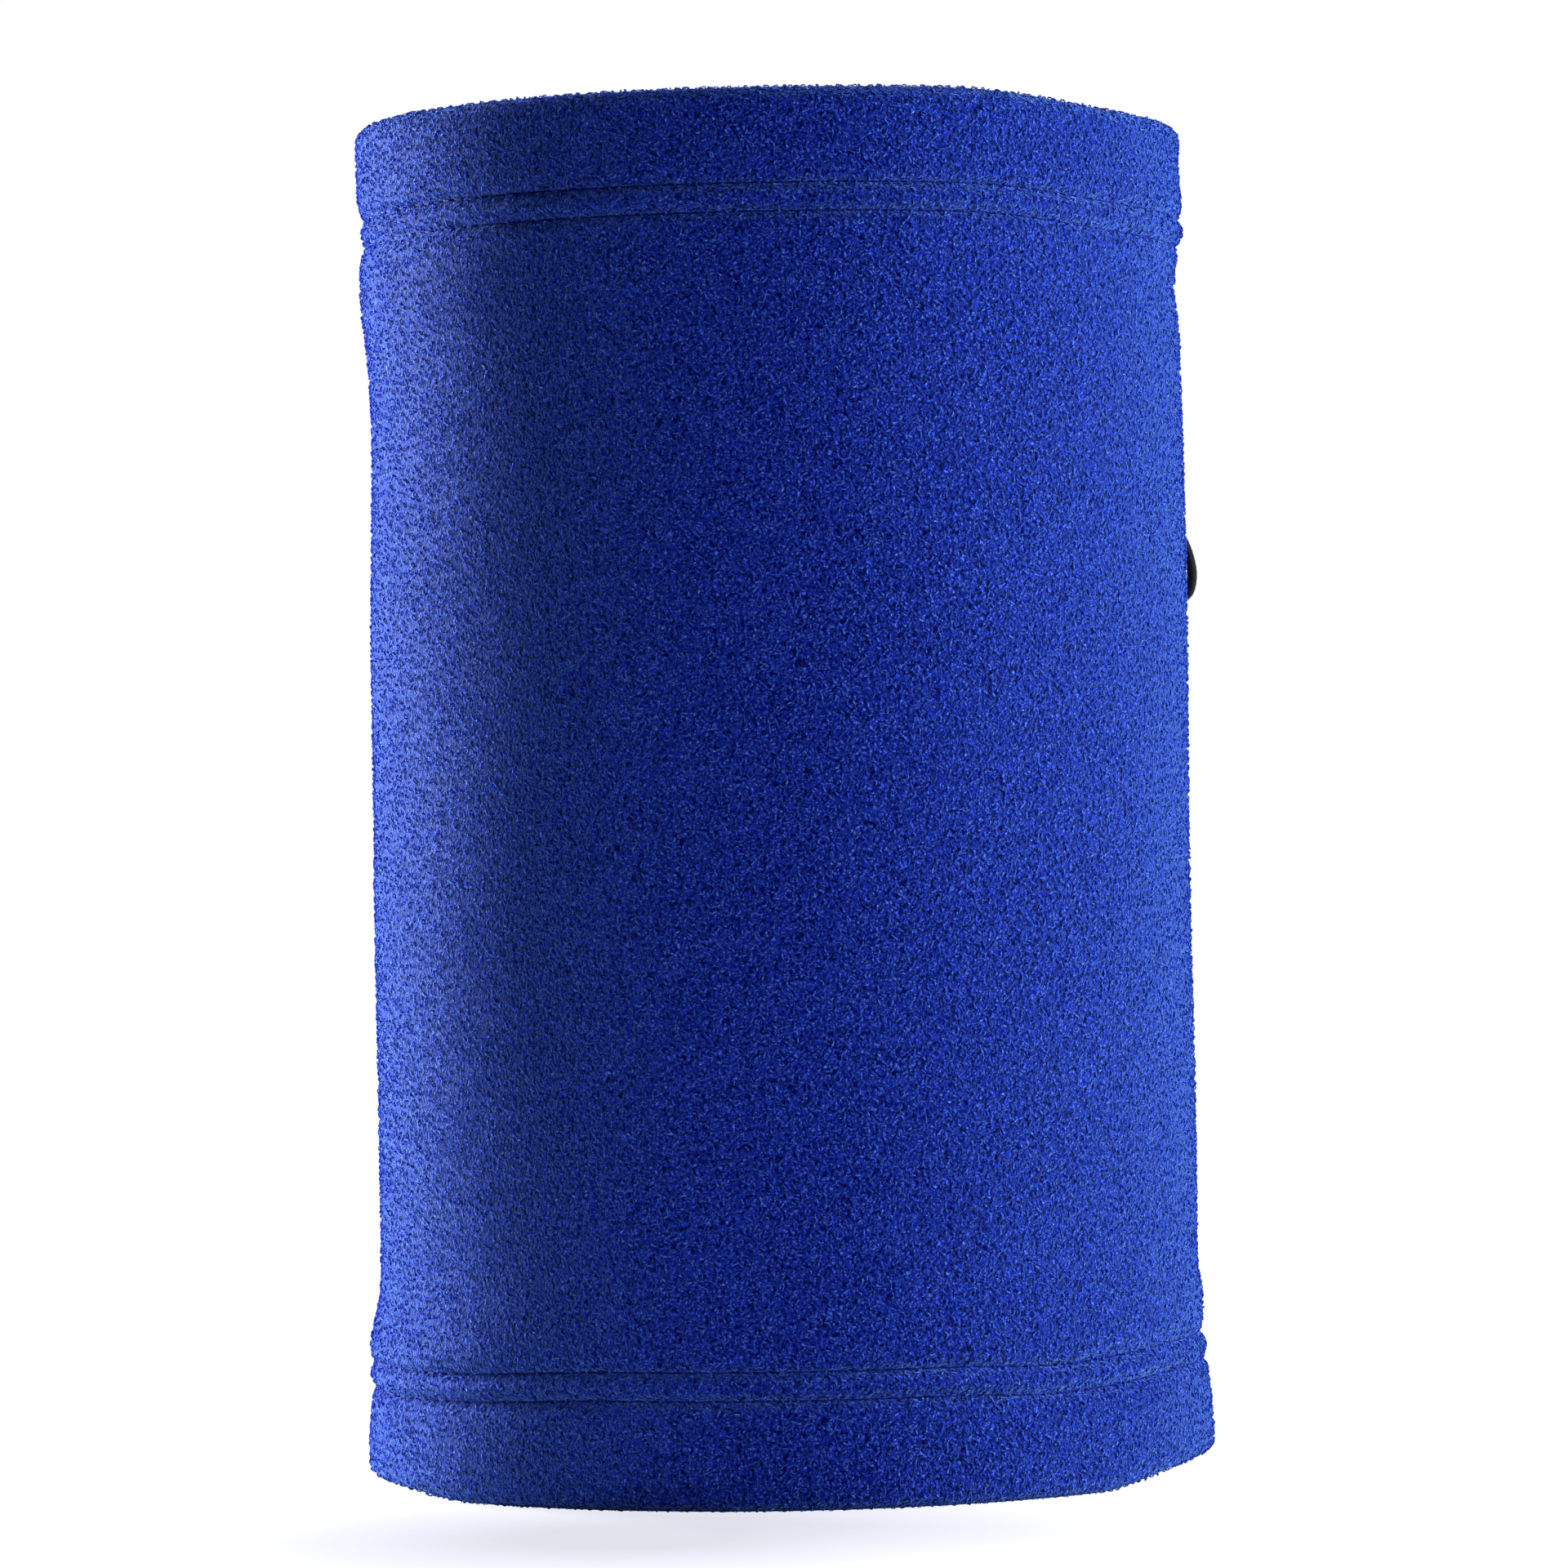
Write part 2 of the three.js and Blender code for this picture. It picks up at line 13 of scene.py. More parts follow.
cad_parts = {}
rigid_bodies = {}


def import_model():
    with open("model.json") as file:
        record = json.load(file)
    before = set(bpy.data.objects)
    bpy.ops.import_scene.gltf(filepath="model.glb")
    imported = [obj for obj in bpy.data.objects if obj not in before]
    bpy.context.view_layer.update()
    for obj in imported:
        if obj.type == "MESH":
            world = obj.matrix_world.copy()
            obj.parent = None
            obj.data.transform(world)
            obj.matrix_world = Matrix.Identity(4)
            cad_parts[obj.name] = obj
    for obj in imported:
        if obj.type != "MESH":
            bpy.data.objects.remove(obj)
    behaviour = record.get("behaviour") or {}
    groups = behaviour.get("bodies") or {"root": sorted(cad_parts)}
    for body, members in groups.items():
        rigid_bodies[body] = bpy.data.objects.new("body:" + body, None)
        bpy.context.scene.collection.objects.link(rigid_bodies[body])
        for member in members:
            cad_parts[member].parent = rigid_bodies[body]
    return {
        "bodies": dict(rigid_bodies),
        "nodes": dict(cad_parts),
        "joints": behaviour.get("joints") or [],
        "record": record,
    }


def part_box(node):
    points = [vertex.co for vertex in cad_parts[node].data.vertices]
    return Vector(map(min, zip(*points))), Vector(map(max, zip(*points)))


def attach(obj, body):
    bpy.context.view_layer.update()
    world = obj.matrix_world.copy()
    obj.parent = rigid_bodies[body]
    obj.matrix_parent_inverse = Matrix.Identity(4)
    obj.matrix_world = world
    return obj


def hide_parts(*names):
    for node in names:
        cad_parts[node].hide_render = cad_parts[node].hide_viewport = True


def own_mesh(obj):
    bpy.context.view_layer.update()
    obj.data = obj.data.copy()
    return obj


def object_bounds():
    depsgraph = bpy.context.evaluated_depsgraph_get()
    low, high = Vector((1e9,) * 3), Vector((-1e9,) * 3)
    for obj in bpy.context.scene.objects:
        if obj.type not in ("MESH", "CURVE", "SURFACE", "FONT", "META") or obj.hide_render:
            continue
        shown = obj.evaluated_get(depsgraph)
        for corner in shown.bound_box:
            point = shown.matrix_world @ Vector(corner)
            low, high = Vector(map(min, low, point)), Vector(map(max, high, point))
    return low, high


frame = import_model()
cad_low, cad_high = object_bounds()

# ---- camera, light and table -----------------------------------------------------------
# The gaiter stands upright on a white table, seen from the height of its middle through
# a long lens. A narrow strong light stands behind it on the left and a broad one on its
# right, with weaker ones in front and overhead.
gaiter_middle = (cad_low.z + cad_high.z) / 2
CAMERA_AWAY = 1.44
CAMERA_LEAN = -1.07                  # degrees


def place_object(name, data):
    made = bpy.data.objects.new(name, data)
    bpy.context.scene.collection.objects.link(made)
    return made


camera = place_object("camera", bpy.data.cameras.new("camera"))
bpy.context.scene.camera = camera
camera.data.sensor_width = 36
camera.data.lens = 168.75
camera.data.shift_x = 0.0026
camera.data.shift_y = 0.0089
camera.matrix_world = (Matrix.Translation((0, -CAMERA_AWAY, gaiter_middle))
                       @ Matrix.Rotation(math.radians(90), 4, "X")
                       @ Matrix.Rotation(math.radians(CAMERA_LEAN), 4, "Z"))
bpy.context.scene.view_settings.view_transform = "Standard"


def soft_light(name, azimuth, height, distance, size, power):
    data = bpy.data.lights.new(name, "AREA")
    data.shape = "RECTANGLE"
    data.size, data.size_y = size
    data.energy = power
    lamp = place_object(name, data)
    turn = math.radians(azimuth)
    lamp.location = (distance * math.sin(turn), -distance * math.cos(turn), height)
    aim = Vector((0, 0, gaiter_middle)) - lamp.location
    lamp.rotation_euler = aim.to_track_quat("-Z", "Y").to_euler()


soft_light("back_softbox", azimuth=-129, height=0.22, distance=0.9, size=(0.3, 0.9), power=85)
soft_light("side_softbox", azimuth=98, height=0.26, distance=1.1, size=(0.6, 0.9), power=34)
soft_light("front_fill", azimuth=56, height=0.45, distance=1.5, size=(0.7, 0.9), power=12.5)
soft_light("top_softbox", azimuth=0, height=1.3, distance=0.1, size=(0.7, 0.7), power=2.5)


def add_node(tree, kind, links=(), **settings):
    """A node with its settings, its plain inputs and the links that come into it."""
    node = tree.nodes.new(kind)
    for key, value in settings.items():
        setattr(node, key, value)
    for socket, value in dict(links).items():
        if isinstance(value, bpy.types.NodeSocket):
            tree.links.new(value, node.inputs[socket])
        else:
            node.inputs[socket].default_value = value
    return node


def finish_material(name, roughness, **constants):
    """A material whose Principled shader has its plain values set on its own sockets."""
    material = bpy.data.materials.new(name)
    material.use_nodes = True
    shader = material.node_tree.nodes["Principled BSDF"]
    shader.inputs["Roughness"].default_value = roughness
    for label, value in constants.items():
        shader.inputs[label.replace("_", " ")].default_value = value
    return material, material.node_tree, shader


# The camera sees a white studio, which lights the gaiter only a little.
world = bpy.data.worlds.new("white_studio")
bpy.context.scene.world = world
world.use_nodes = True
sky = world.node_tree
sky.nodes.clear()
seen = add_node(sky, "ShaderNodeBackground", {"Color": (1, 1, 1, 1), "Strength": 1.0})
around = add_node(sky, "ShaderNodeBackground", {"Color": (0.9, 0.94, 1, 1), "Strength": 0.02})
either = add_node(sky, "ShaderNodeMixShader",
                  {"Fac": add_node(sky, "ShaderNodeLightPath").outputs["Is Camera Ray"],
                   1: around.outputs[0], 2: seen.outputs[0]})
add_node(sky, "ShaderNodeOutputWorld", {"Surface": either.outputs[0]})

# The table is a white disc that fades into the studio, with a painted soft shadow in front.
TABLE_RADIUS = 3
TABLE_CORNERS = 96
TABLE_LEVEL = -0.0002
table_mesh = bpy.data.meshes.new("table_top")
table_mesh.from_pydata([(TABLE_RADIUS * math.cos(math.tau * i / TABLE_CORNERS),
                         TABLE_RADIUS * math.sin(math.tau * i / TABLE_CORNERS), TABLE_LEVEL)
                        for i in range(TABLE_CORNERS)], [], [tuple(range(TABLE_CORNERS))])
table_top = place_object("table_top", table_mesh)
table_white, tree, bare = finish_material("table_white", 0.7, Base_Color=(0.4, 0.4, 0.42, 1),
                                          Specular_IOR_Level=0.2)
place = add_node(tree, "ShaderNodeTexCoord").outputs["Object"]
# For the camera the table glows, dimmer near a point in front of the tube: that dim spot is a
# painted shadow.
from_painted_shadow = add_node(tree, "ShaderNodeVectorMath", {0: place, 1: (-0.03, -0.12, 0)},
                      operation="DISTANCE").outputs["Value"]
painted_shadow_fade = add_node(tree, "ShaderNodeMapRange",
                {"Value": from_painted_shadow, "From Min": 0.02, "From Max": 0.1,
                 "To Min": 0.72, "To Max": 1.2}).outputs["Result"]
glow_with_painted_shadow = add_node(tree, "ShaderNodeEmission", {"Color": (0.88, 0.89, 1, 1), "Strength": painted_shadow_fade})
faint = add_node(tree, "ShaderNodeBsdfDiffuse", {"Color": (0.05, 0.05, 0.05, 1)})
both = add_node(tree, "ShaderNodeAddShader", {0: faint.outputs[0], 1: glow_with_painted_shadow.outputs[0]})
shown = add_node(tree, "ShaderNodeMixShader",
                 {"Fac": add_node(tree, "ShaderNodeLightPath").outputs["Is Camera Ray"],
                  1: bare.outputs[0], 2: both.outputs[0]})
tree.links.new(shown.outputs[0], tree.nodes["Material Output"].inputs["Surface"])
table_mesh.materials.append(table_white)

# ---- drawcord loop ---------------------------------------------------------------------
# 2 mm black elastic cord: a rubber core in a braided polyester sleeve. It comes out of
# one eyelet, runs down through the cord lock, turns back on itself and goes back up
# through the lock into the other eyelet.
MM = 0.001
CORD = 2.0
CHANNEL_CORD_RADIUS = 75.6
EYELET_HEIGHT = 254.0
slide, press = frame["joints"]
lock_up = Vector(slide["axis"])
lock_along = Vector(press["axis"])
lock_out = lock_along.cross(lock_up)
barrel_low, barrel_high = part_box("cord_lock_barrel")
BARREL_ENDS = (-10.5, 7.0)
lock_middle = (barrel_low + barrel_high) / 2 / MM - lock_along * sum(BARREL_ENDS) / 2

# The hanging part of the loop, as [across the legs, up along them, out from the wall].
LOOP_ROUTE = [
    (-6.0, 27.9, -0.6), (-5.6, 25.4, 0.7), (-4.3, 21.6, 0.7), (-2.5, 17.9, 0.2),
    (-1.3, 14.2, 0.0), (-1.15, 10, 0.0), (-1.15, 0, 0.0), (-1.15, -12, 0.0),
    (-1.15, -24, 0.0), (-1.2, -31, 0.0), (-1.9, -38, 0.1), (-3.3, -44.5, 0.3),
    (-4.4, -50, 0.5), (-3.9, -54.4, 0.6), (-1.7, -57.2, 0.6),
    (1.7, -57.2, 0.6), (3.9, -54.4, 0.6), (4.4, -50, 0.5), (3.3, -44.5, 0.3),
    (1.9, -38, 0.1), (1.2, -31, 0.0), (1.15, -24, 0.0), (1.15, -12, 0.0),
    (1.15, 0, 0.0), (1.15, 10, 0.0), (1.3, 14.2, 0.0), (2.4, 18.6, 0.1),
    (3.9, 23.0, 0.2), (5.0, 27.2, 0.1), (5.4, 31.0, -1.3),
]


def round_the_wall(angle, radius, z):
    return Vector((radius * math.cos(angle), radius * math.sin(angle), z))


def node_angle(node):
    low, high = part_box(node)
    middle = (low + high) / 2
    return math.atan2(middle.y, middle.x)


eyelet_angles = [node_angle("eyelet_side"), node_angle("eyelet_seam")]


def smooth_line(points, step):
    """A centripetal Catmull-Rom line through the points, in even steps."""
    p = [np.array(q, float) for q in points]
    p = [2 * p[0] - p[1], *p, 2 * p[-1] - p[-2]]
    line = []
    for a, b, c, d in zip(p, p[1:], p[2:], p[3:]):
        ta, tb, tc = (max(np.linalg.norm(v - u), 1e-6) ** 0.5 for u, v in ((a, b), (b, c), (c, d)))
        start = ((b - a) / ta - (c - a) / (ta + tb) + (c - b) / tb) * tb
        end = ((c - b) / tb - (d - b) / (tb + tc) + (d - c) / tc) * tb
        for t in np.linspace(0, 1, 24, endpoint=False):
            line.append((2 * t ** 3 - 3 * t ** 2 + 1) * b + (t ** 3 - 2 * t ** 2 + t) * start
                        + (3 * t ** 2 - 2 * t ** 3) * c + (t ** 3 - t ** 2) * end)
    line = np.array([*line, p[-2]])
    along = np.concatenate([[0], np.cumsum(np.linalg.norm(np.diff(line, axis=0), axis=1))])
    even = np.linspace(0, along[-1], max(2, round(along[-1] / step)) + 1)
    return np.stack([np.interp(even, along, line[:, k]) for k in range(3)], axis=1)


def tube(name, line, radius, sides, relief=None, closed=False):
    """A tube along a line, with U round it and V along it in millimetres."""
    line = np.array(line, float)
    n = len(line)
    tangent = np.roll(line, -1, 0) - np.roll(line, 1, 0) if closed else np.gradient(line, axis=0)
    tangent /= np.linalg.norm(tangent, axis=1)[:, None]
    side = np.cross(tangent[0], (0.3, 0.2, 1) if abs(tangent[0][2]) < 0.9 else (1, 0.2, 0))
    sides_of = []
    for t in tangent:
        side = side - t * side.dot(t)
        side /= np.linalg.norm(side)
        sides_of.append(side)
    across = np.array(sides_of)
    upright = np.cross(tangent, across)
    along = np.concatenate([[0], np.cumsum(np.linalg.norm(np.diff(line, axis=0), axis=1))])
    turn = np.arange(sides) / sides
    u, v = np.meshgrid(turn, along)
    r = radius + (relief(u, v) if relief else 0 * u)
    c, s = np.cos(math.tau * u)[..., None], np.sin(math.tau * u)[..., None]
    points = line[:, None] + r[..., None] * (across[:, None] * c + upright[:, None] * s)
    rings = n if closed else n - 1
    faces = [(i * sides + j, i * sides + (j + 1) % sides,
              (i + 1) % n * sides + (j + 1) % sides, (i + 1) % n * sides + j)
             for i in range(rings) for j in range(sides)]
    uvs = [(c / sides, v[min(i + k, n - 1), 0] + (along[1] if i + k == n else 0))
           for i in range(rings) for j in range(sides)
           for c, k in ((j, 0), (j + 1, 0), (j + 1, 1), (j, 1))]
    if not closed:
        faces += [tuple(range(sides))[::-1], tuple(range((n - 1) * sides, n * sides))]
        uvs += [(j / sides, 0) for j in range(sides)][::-1]
        uvs += [(j / sides, along[-1]) for j in range(sides)]
    mesh = bpy.data.meshes.new(name)
    mesh.from_pydata((points.reshape(-1, 3) * MM).tolist(), [], faces)
    layer = mesh.uv_layers.new(name="UVMap")
    layer.data.foreach_set("uv", np.array(uvs, np.float32).ravel())
    mesh.shade_smooth()
    return place_object(name, mesh)


def braid(carriers, depth):
    """The relief of a braided sleeve: strands both ways, over and under by turns."""
    spacing = math.pi * CORD / carriers

    def relief(u, v):
        left, right = carriers * u + v / spacing, carriers * u - v / spacing
        over = (np.floor(left) + np.floor(right)) % 2 < 1
        strand = np.where(over, np.abs(np.sin(math.pi * left)), np.abs(np.sin(math.pi * right)))
        return depth * (strand ** 0.6 - 0.7)
    return relief


def node_group(name, inputs, outputs):
    """An empty shader node group with float or vector sockets."""
    group = bpy.data.node_groups.new(name, "ShaderNodeTree")
    for direction, sockets in (("INPUT", inputs), ("OUTPUT", outputs)):
        for label, value in sockets.items():
            kind = "NodeSocketFloat" if isinstance(value, (int, float)) else "NodeSocketVector"
            socket = group.interface.new_socket(label, in_out=direction, socket_type=kind)
            if direction == "INPUT" and kind == "NodeSocketFloat":
                socket.default_value = value
    return group, group.nodes.new("NodeGroupInput"), group.nodes.new("NodeGroupOutput")


def maths(tree, operation, a, b=0.0, c=0.0, clamp=False):
    return add_node(tree, "ShaderNodeMath", {0: a, 1: b, 2: c},
                    operation=operation, use_clamp=clamp).outputs[0]


def mix_colour(tree, factor, first, second):
    return add_node(tree, "ShaderNodeMix", {"Factor": factor, 6: first, 7: second},
                    data_type="RGBA").outputs[2]


def bump(tree, shader, height, distance, strength=1.0):
    """Feeds a height in metres times distance to the shader's normal."""
    node = add_node(tree, "ShaderNodeBump", {"Height": height, "Distance": distance,
                                             "Strength": strength})
    tree.links.new(node.outputs[0], shader.inputs["Normal"])


# Fine filaments across a yarn or a braid's strands, and the uneven dirt of handling.
# It reads the piece's own UV map: U round the yarn, V along it in millimetres.
YARN, given, gives = node_group(
    "yarn_filaments", {"Filaments": 9.0, "Lay": 1.2, "Wear Size": 0.004},
    {"Height": 0.0, "Shade": 0.0})
uv = add_node(YARN, "ShaderNodeUVMap", uv_map="UVMap")
part = add_node(YARN, "ShaderNodeSeparateXYZ", {0: uv.outputs[0]})
helix = maths(YARN, "ADD", part.outputs["X"], maths(YARN, "MULTIPLY", part.outputs["Y"],
                                                    given.outputs["Lay"]))
wave = maths(YARN, "SINE", maths(YARN, "MULTIPLY", helix,
                                 maths(YARN, "MULTIPLY", given.outputs["Filaments"], math.tau)))
place = add_node(YARN, "ShaderNodeTexCoord").outputs["Object"]
wear_scale = maths(YARN, "DIVIDE", 1.0, given.outputs["Wear Size"])
patches = add_node(YARN, "ShaderNodeTexNoise",
                   {"Vector": place, "Scale": wear_scale, "Detail": 3.0}).outputs[0]
strays = add_node(YARN, "ShaderNodeTexNoise",
                  {"Vector": place, "Scale": 5200.0, "Detail": 2.0}).outputs[0]
YARN.links.new(maths(YARN, "MULTIPLY_ADD", wave, 0.35, strays), gives.inputs["Height"])
YARN.links.new(maths(YARN, "MULTIPLY_ADD", wave, 0.2, patches, clamp=True), gives.inputs["Shade"])


def yarn_material(name, dark, light, filaments, lay, roughness, sheen, tint):
    material, tree, shader = finish_material(
        name, roughness, Sheen_Weight=sheen, Sheen_Roughness=0.4, Sheen_Tint=tint,
        Specular_IOR_Level=0.08)
    yarn = add_node(tree, "ShaderNodeGroup", node_tree=YARN)
    yarn.inputs["Filaments"].default_value = filaments
    yarn.inputs["Lay"].default_value = lay
    tree.links.new(mix_colour(tree, yarn.outputs["Shade"], dark, light),
                   shader.inputs["Base Color"])
    bump(tree, shader, yarn.outputs["Height"], 0.00006)
    return material


CORD_BLACK = yarn_material("elastic_cord_black", (0.004, 0.004, 0.005, 1),
                           (0.014, 0.014, 0.016, 1), 36, 0.9, 0.7, 0.08, (0.6, 0.62, 0.7, 1))


def cord_in_turn(angle, out):
    return round_the_wall(angle, CHANNEL_CORD_RADIUS + 3 + 0.3 + out, EYELET_HEIGHT)


hanging = [lock_middle + lock_along * a + lock_up * b + lock_out * c for a, b, c in LOOP_ROUTE]
loop_path = smooth_line(
    [*(cord_in_turn(eyelet_angles[0], out) for out in (0, CORD)), *hanging,
     *(cord_in_turn(eyelet_angles[1], out) for out in (CORD, 0))], step=0.26)
loop = tube("drawcord_loop_braid", loop_path, CORD / 2, 24, relief=braid(6, 0.16))
loop.data.materials.append(CORD_BLACK)
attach(loop, "gaiter")
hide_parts("drawcord_loop")

# ---- cord lock -------------------------------------------------------------------------
# A round spring cord lock on the loop, moulded in black acetal: a ribbed barrel with a
# slot through it, a plunger with a matching slot and a thumb button, and a steel spring
# between them that pinches the cord. Turned and cut shapes are meshed fine, then smoothed.
BARREL_RADIUS = 5.5
BORE_RADIUS = 3.8
BORE_FLOOR = -8.9
BARREL_SLOT = (-5.05, 2.45)
PLUNGER_SLOT = (-2.45, 5.05)
SLOT_WIDTH = 2.8
CUT_THROUGH = 24
MOULD_DETAIL = 0.15
PLUNGER_RADIUS = 3.5
PLUNGER_ENDS = (-4.05, 9.9)
BUTTON_RADIUS = 4.4
BUTTON_END = 12.5
SPRING_RADIUS = 2.4
SPRING_WIRE = 0.4
SPRING_ENDS = (-8.4, -4.55)
SPRING_TURNS = 3

lock_frame = Matrix.Translation(lock_middle) @ Matrix(
    (lock_along, lock_up, lock_out)).transposed().to_4x4()


def arc(radius_at, place_at, radius, start, end, steps=6):
    """Points of an arc, as [radius, place along the axis], in degrees."""
    return [(radius_at + radius * math.cos(math.radians(t)),
             place_at + radius * math.sin(math.radians(t)))
            for t in np.linspace(start, end, steps + 1)]


def turned(name, profile, sides, frame, wear=None):
    """A closed profile of [radius, place] turned about the frame's third axis."""
    mesh = bmesh.new()
    rings = []
    for radius, place in profile:
        if radius < 1e-6:
            rings.append([mesh.verts.new((0, 0, place))])
        else:
            rings.append([mesh.verts.new((radius * math.cos(math.tau * i / sides),
                                          radius * math.sin(math.tau * i / sides), place))
                          for i in range(sides)])
    for a, b in zip(rings, rings[1:] + rings[:1]):
        for i in range(sides):
            j = (i + 1) % sides
            corners = [a[i % len(a)], a[j % len(a)], b[j % len(b)], b[i % len(b)]]
            corners = [c for k, c in enumerate(corners) if c not in corners[:k]]
            if len(corners) > 2:
                mesh.faces.new(corners)
    bmesh.ops.recalc_face_normals(mesh, faces=mesh.faces)
    if wear:
        worn = mesh.verts.layers.float.new("wear")
        for vert in mesh.verts:
            vert[worn] = wear(math.hypot(vert.co.x, vert.co.y), vert.co.z)
    bmesh.ops.transform(mesh, matrix=Matrix.Scale(MM, 4) @ frame, verts=mesh.verts)
    data = bpy.data.meshes.new(name)
    mesh.to_mesh(data)
    mesh.free()
    data.shade_smooth()
    return place_object(name, data)


def settle(piece):
    """Makes a piece the plain mesh that its modifiers give, and takes them off."""
    graph = bpy.context.evaluated_depsgraph_get()
    data = bpy.data.meshes.new_from_object(piece.evaluated_get(graph), depsgraph=graph)
    piece.modifiers.clear()
    piece.data = data
    data.name = piece.name
    return piece


def moulded(piece, slot):
    """Cuts a slot with round ends through a turned piece, and gives it moulded edges."""
    half = SLOT_WIDTH / 2
    outline = [*arc(0, slot[1] - half, half, 0, 180, 10),
               *arc(0, slot[0] + half, half, 180, 360, 10)]
    cutter = bmesh.new()
    face = cutter.faces.new([cutter.verts.new((x, -CUT_THROUGH / 2, z)) for z, x in outline])
    top = bmesh.ops.extrude_face_region(cutter, geom=[face])["geom"]
    bmesh.ops.translate(cutter, vec=(0, CUT_THROUGH, 0),
                        verts=[v for v in top if isinstance(v, bmesh.types.BMVert)])
    bmesh.ops.recalc_face_normals(cutter, faces=cutter.faces)
    bmesh.ops.transform(cutter, matrix=Matrix.Scale(MM, 4) @ lock_frame, verts=cutter.verts)
    data = bpy.data.meshes.new("slot_cutter")
    cutter.to_mesh(data)
    cutter.free()
    tool = place_object("slot_cutter", data)
    cut = piece.modifiers.new("slot", "BOOLEAN")
    cut.object, cut.operation, cut.solver = tool, "DIFFERENCE", "EXACT"
    fine = piece.modifiers.new("fine", "REMESH")
    fine.mode, fine.voxel_size, fine.use_smooth_shade = "VOXEL", MOULD_DETAIL * MM, True
    soften = piece.modifiers.new("soften", "SMOOTH")
    soften.factor, soften.iterations = 0.5, 6
    settle(piece)
    bpy.data.objects.remove(tool)
    return piece


along_barrel = lock_frame @ Matrix.Rotation(math.radians(90), 4, "Y")
RIB_PITCH = 0.9
GROOVE = (0.28, 0.35)                # half width and depth
ribs = [point for x in np.arange(-9.2, -5.6, RIB_PITCH)
        for point in ((BARREL_RADIUS, x - GROOVE[0]), (BARREL_RADIUS - GROOVE[1], x),
                      (BARREL_RADIUS, x + GROOVE[0]))]
barrel = moulded(turned("lock_barrel", [
    (0, BARREL_ENDS[0]), *arc(BARREL_RADIUS - 0.9, BARREL_ENDS[0] + 0.9, 0.9, -90, 0), *ribs,
    (BARREL_RADIUS, -5.4), (BARREL_RADIUS - 0.15, -5.0), (BARREL_RADIUS - 0.15, 4.2),
    (BARREL_RADIUS, 4.6),
    *arc(BARREL_RADIUS - 0.8, BARREL_ENDS[1] - 0.8, 0.8, 0, 90),
    *arc(BORE_RADIUS + 0.4, BARREL_ENDS[1] - 0.4, 0.4, 90, 180, 3),
    (BORE_RADIUS, BORE_FLOOR), (0, BORE_FLOOR)], 72, along_barrel), BARREL_SLOT)
button_top = BUTTON_END - 0.25
plunger = moulded(turned("lock_plunger", [
    (0, PLUNGER_ENDS[0]), (PLUNGER_RADIUS - 0.4, PLUNGER_ENDS[0]),
    *arc(PLUNGER_RADIUS - 0.4, PLUNGER_ENDS[0] + 0.4, 0.4, -90, 0, 3),
    (PLUNGER_RADIUS, PLUNGER_ENDS[1]), (BUTTON_RADIUS - 0.3, PLUNGER_ENDS[1]),
    *arc(BUTTON_RADIUS - 0.3, PLUNGER_ENDS[1] + 0.3, 0.3, -90, 0, 3),
    *arc(BUTTON_RADIUS - 1.0, BUTTON_END - 1.0, 1.0, 0, 90),
    (2.9, BUTTON_END), (2.6, button_top), (2.3, BUTTON_END), (1.9, BUTTON_END),
    (1.6, button_top), (1.3, BUTTON_END), (0, BUTTON_END)], 72, along_barrel), PLUNGER_SLOT)

CLOSED_COILS = (0.12, 0.88)          # the coil rises between these, and is flat at its ends


def spring_point(t):
    turn = math.tau * SPRING_TURNS * t
    return (lock_middle + lock_along * np.interp(t, CLOSED_COILS, SPRING_ENDS)
            + (lock_up * math.cos(turn) + lock_out * math.sin(turn)) * SPRING_RADIUS)


spring = tube("lock_spring", [spring_point(t) for t in np.linspace(0, 1, 28 * SPRING_TURNS)],
              SPRING_WIRE / 2, 10)

# The grain that a mould leaves on a surface, with fine scuffs.
GRAIN, given, gives = node_group("moulded_grain", {"Grain Size": 0.0003, "Scuff Size": 0.0025},
                                 {"Height": 0.0, "Scuffs": 0.0})
place = add_node(GRAIN, "ShaderNodeTexCoord").outputs["Object"]
grain = add_node(GRAIN, "ShaderNodeTexNoise",
                 {"Vector": place, "Detail": 3.0,
                  "Scale": maths(GRAIN, "DIVIDE", 1.0, given.outputs["Grain Size"])}).outputs[0]
scuffs = add_node(GRAIN, "ShaderNodeTexNoise",
                  {"Vector": place, "Detail": 4.0, "Distortion": 1.5,
                   "Scale": maths(GRAIN, "DIVIDE", 1.0, given.outputs["Scuff Size"])}).outputs[0]
GRAIN.links.new(grain, gives.inputs["Height"])
GRAIN.links.new(maths(GRAIN, "MULTIPLY_ADD", scuffs, 5.0, -2.6, clamp=True),
                gives.inputs["Scuffs"])


def moulded_material(name, dark, light, smooth, scuffed, depth, **constants):
    material, tree, shader = finish_material(name, smooth, **constants)
    surface = add_node(tree, "ShaderNodeGroup", node_tree=GRAIN)
    tree.links.new(mix_colour(tree, surface.outputs["Scuffs"], dark, light),
                   shader.inputs["Base Color"])
    rough = maths(tree, "MULTIPLY_ADD", surface.outputs["Scuffs"], scuffed - smooth, smooth)
    tree.links.new(rough, shader.inputs["Roughness"])
    bump(tree, shader, surface.outputs["Height"], depth)
    return material


ACETAL_BLACK = moulded_material("cord_lock_acetal", (0.006, 0.006, 0.007, 1),
                                (0.018, 0.018, 0.020, 1), 0.34, 0.55, 0.00003,
                                Specular_IOR_Level=0.35)
SPRING_STEEL = moulded_material("spring_steel_wire", (0.42, 0.42, 0.44, 1), (0.6, 0.6, 0.62, 1),
                                0.24, 0.4, 0.00001, Metallic=1.0)
for piece, node, body, slot, finish in (
        (barrel, "cord_lock_barrel", "cord_lock", "cord_lock_plastic", ACETAL_BLACK),
        (plunger, "cord_lock_plunger", "lock_plunger", "cord_lock_plastic", ACETAL_BLACK),
        (spring, "cord_lock_spring", "cord_lock", "spring_steel", SPRING_STEEL)):
    piece.data.materials.clear()
    piece.data.materials.append(finish)
    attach(piece, body)
    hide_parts(node)
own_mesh(spring)

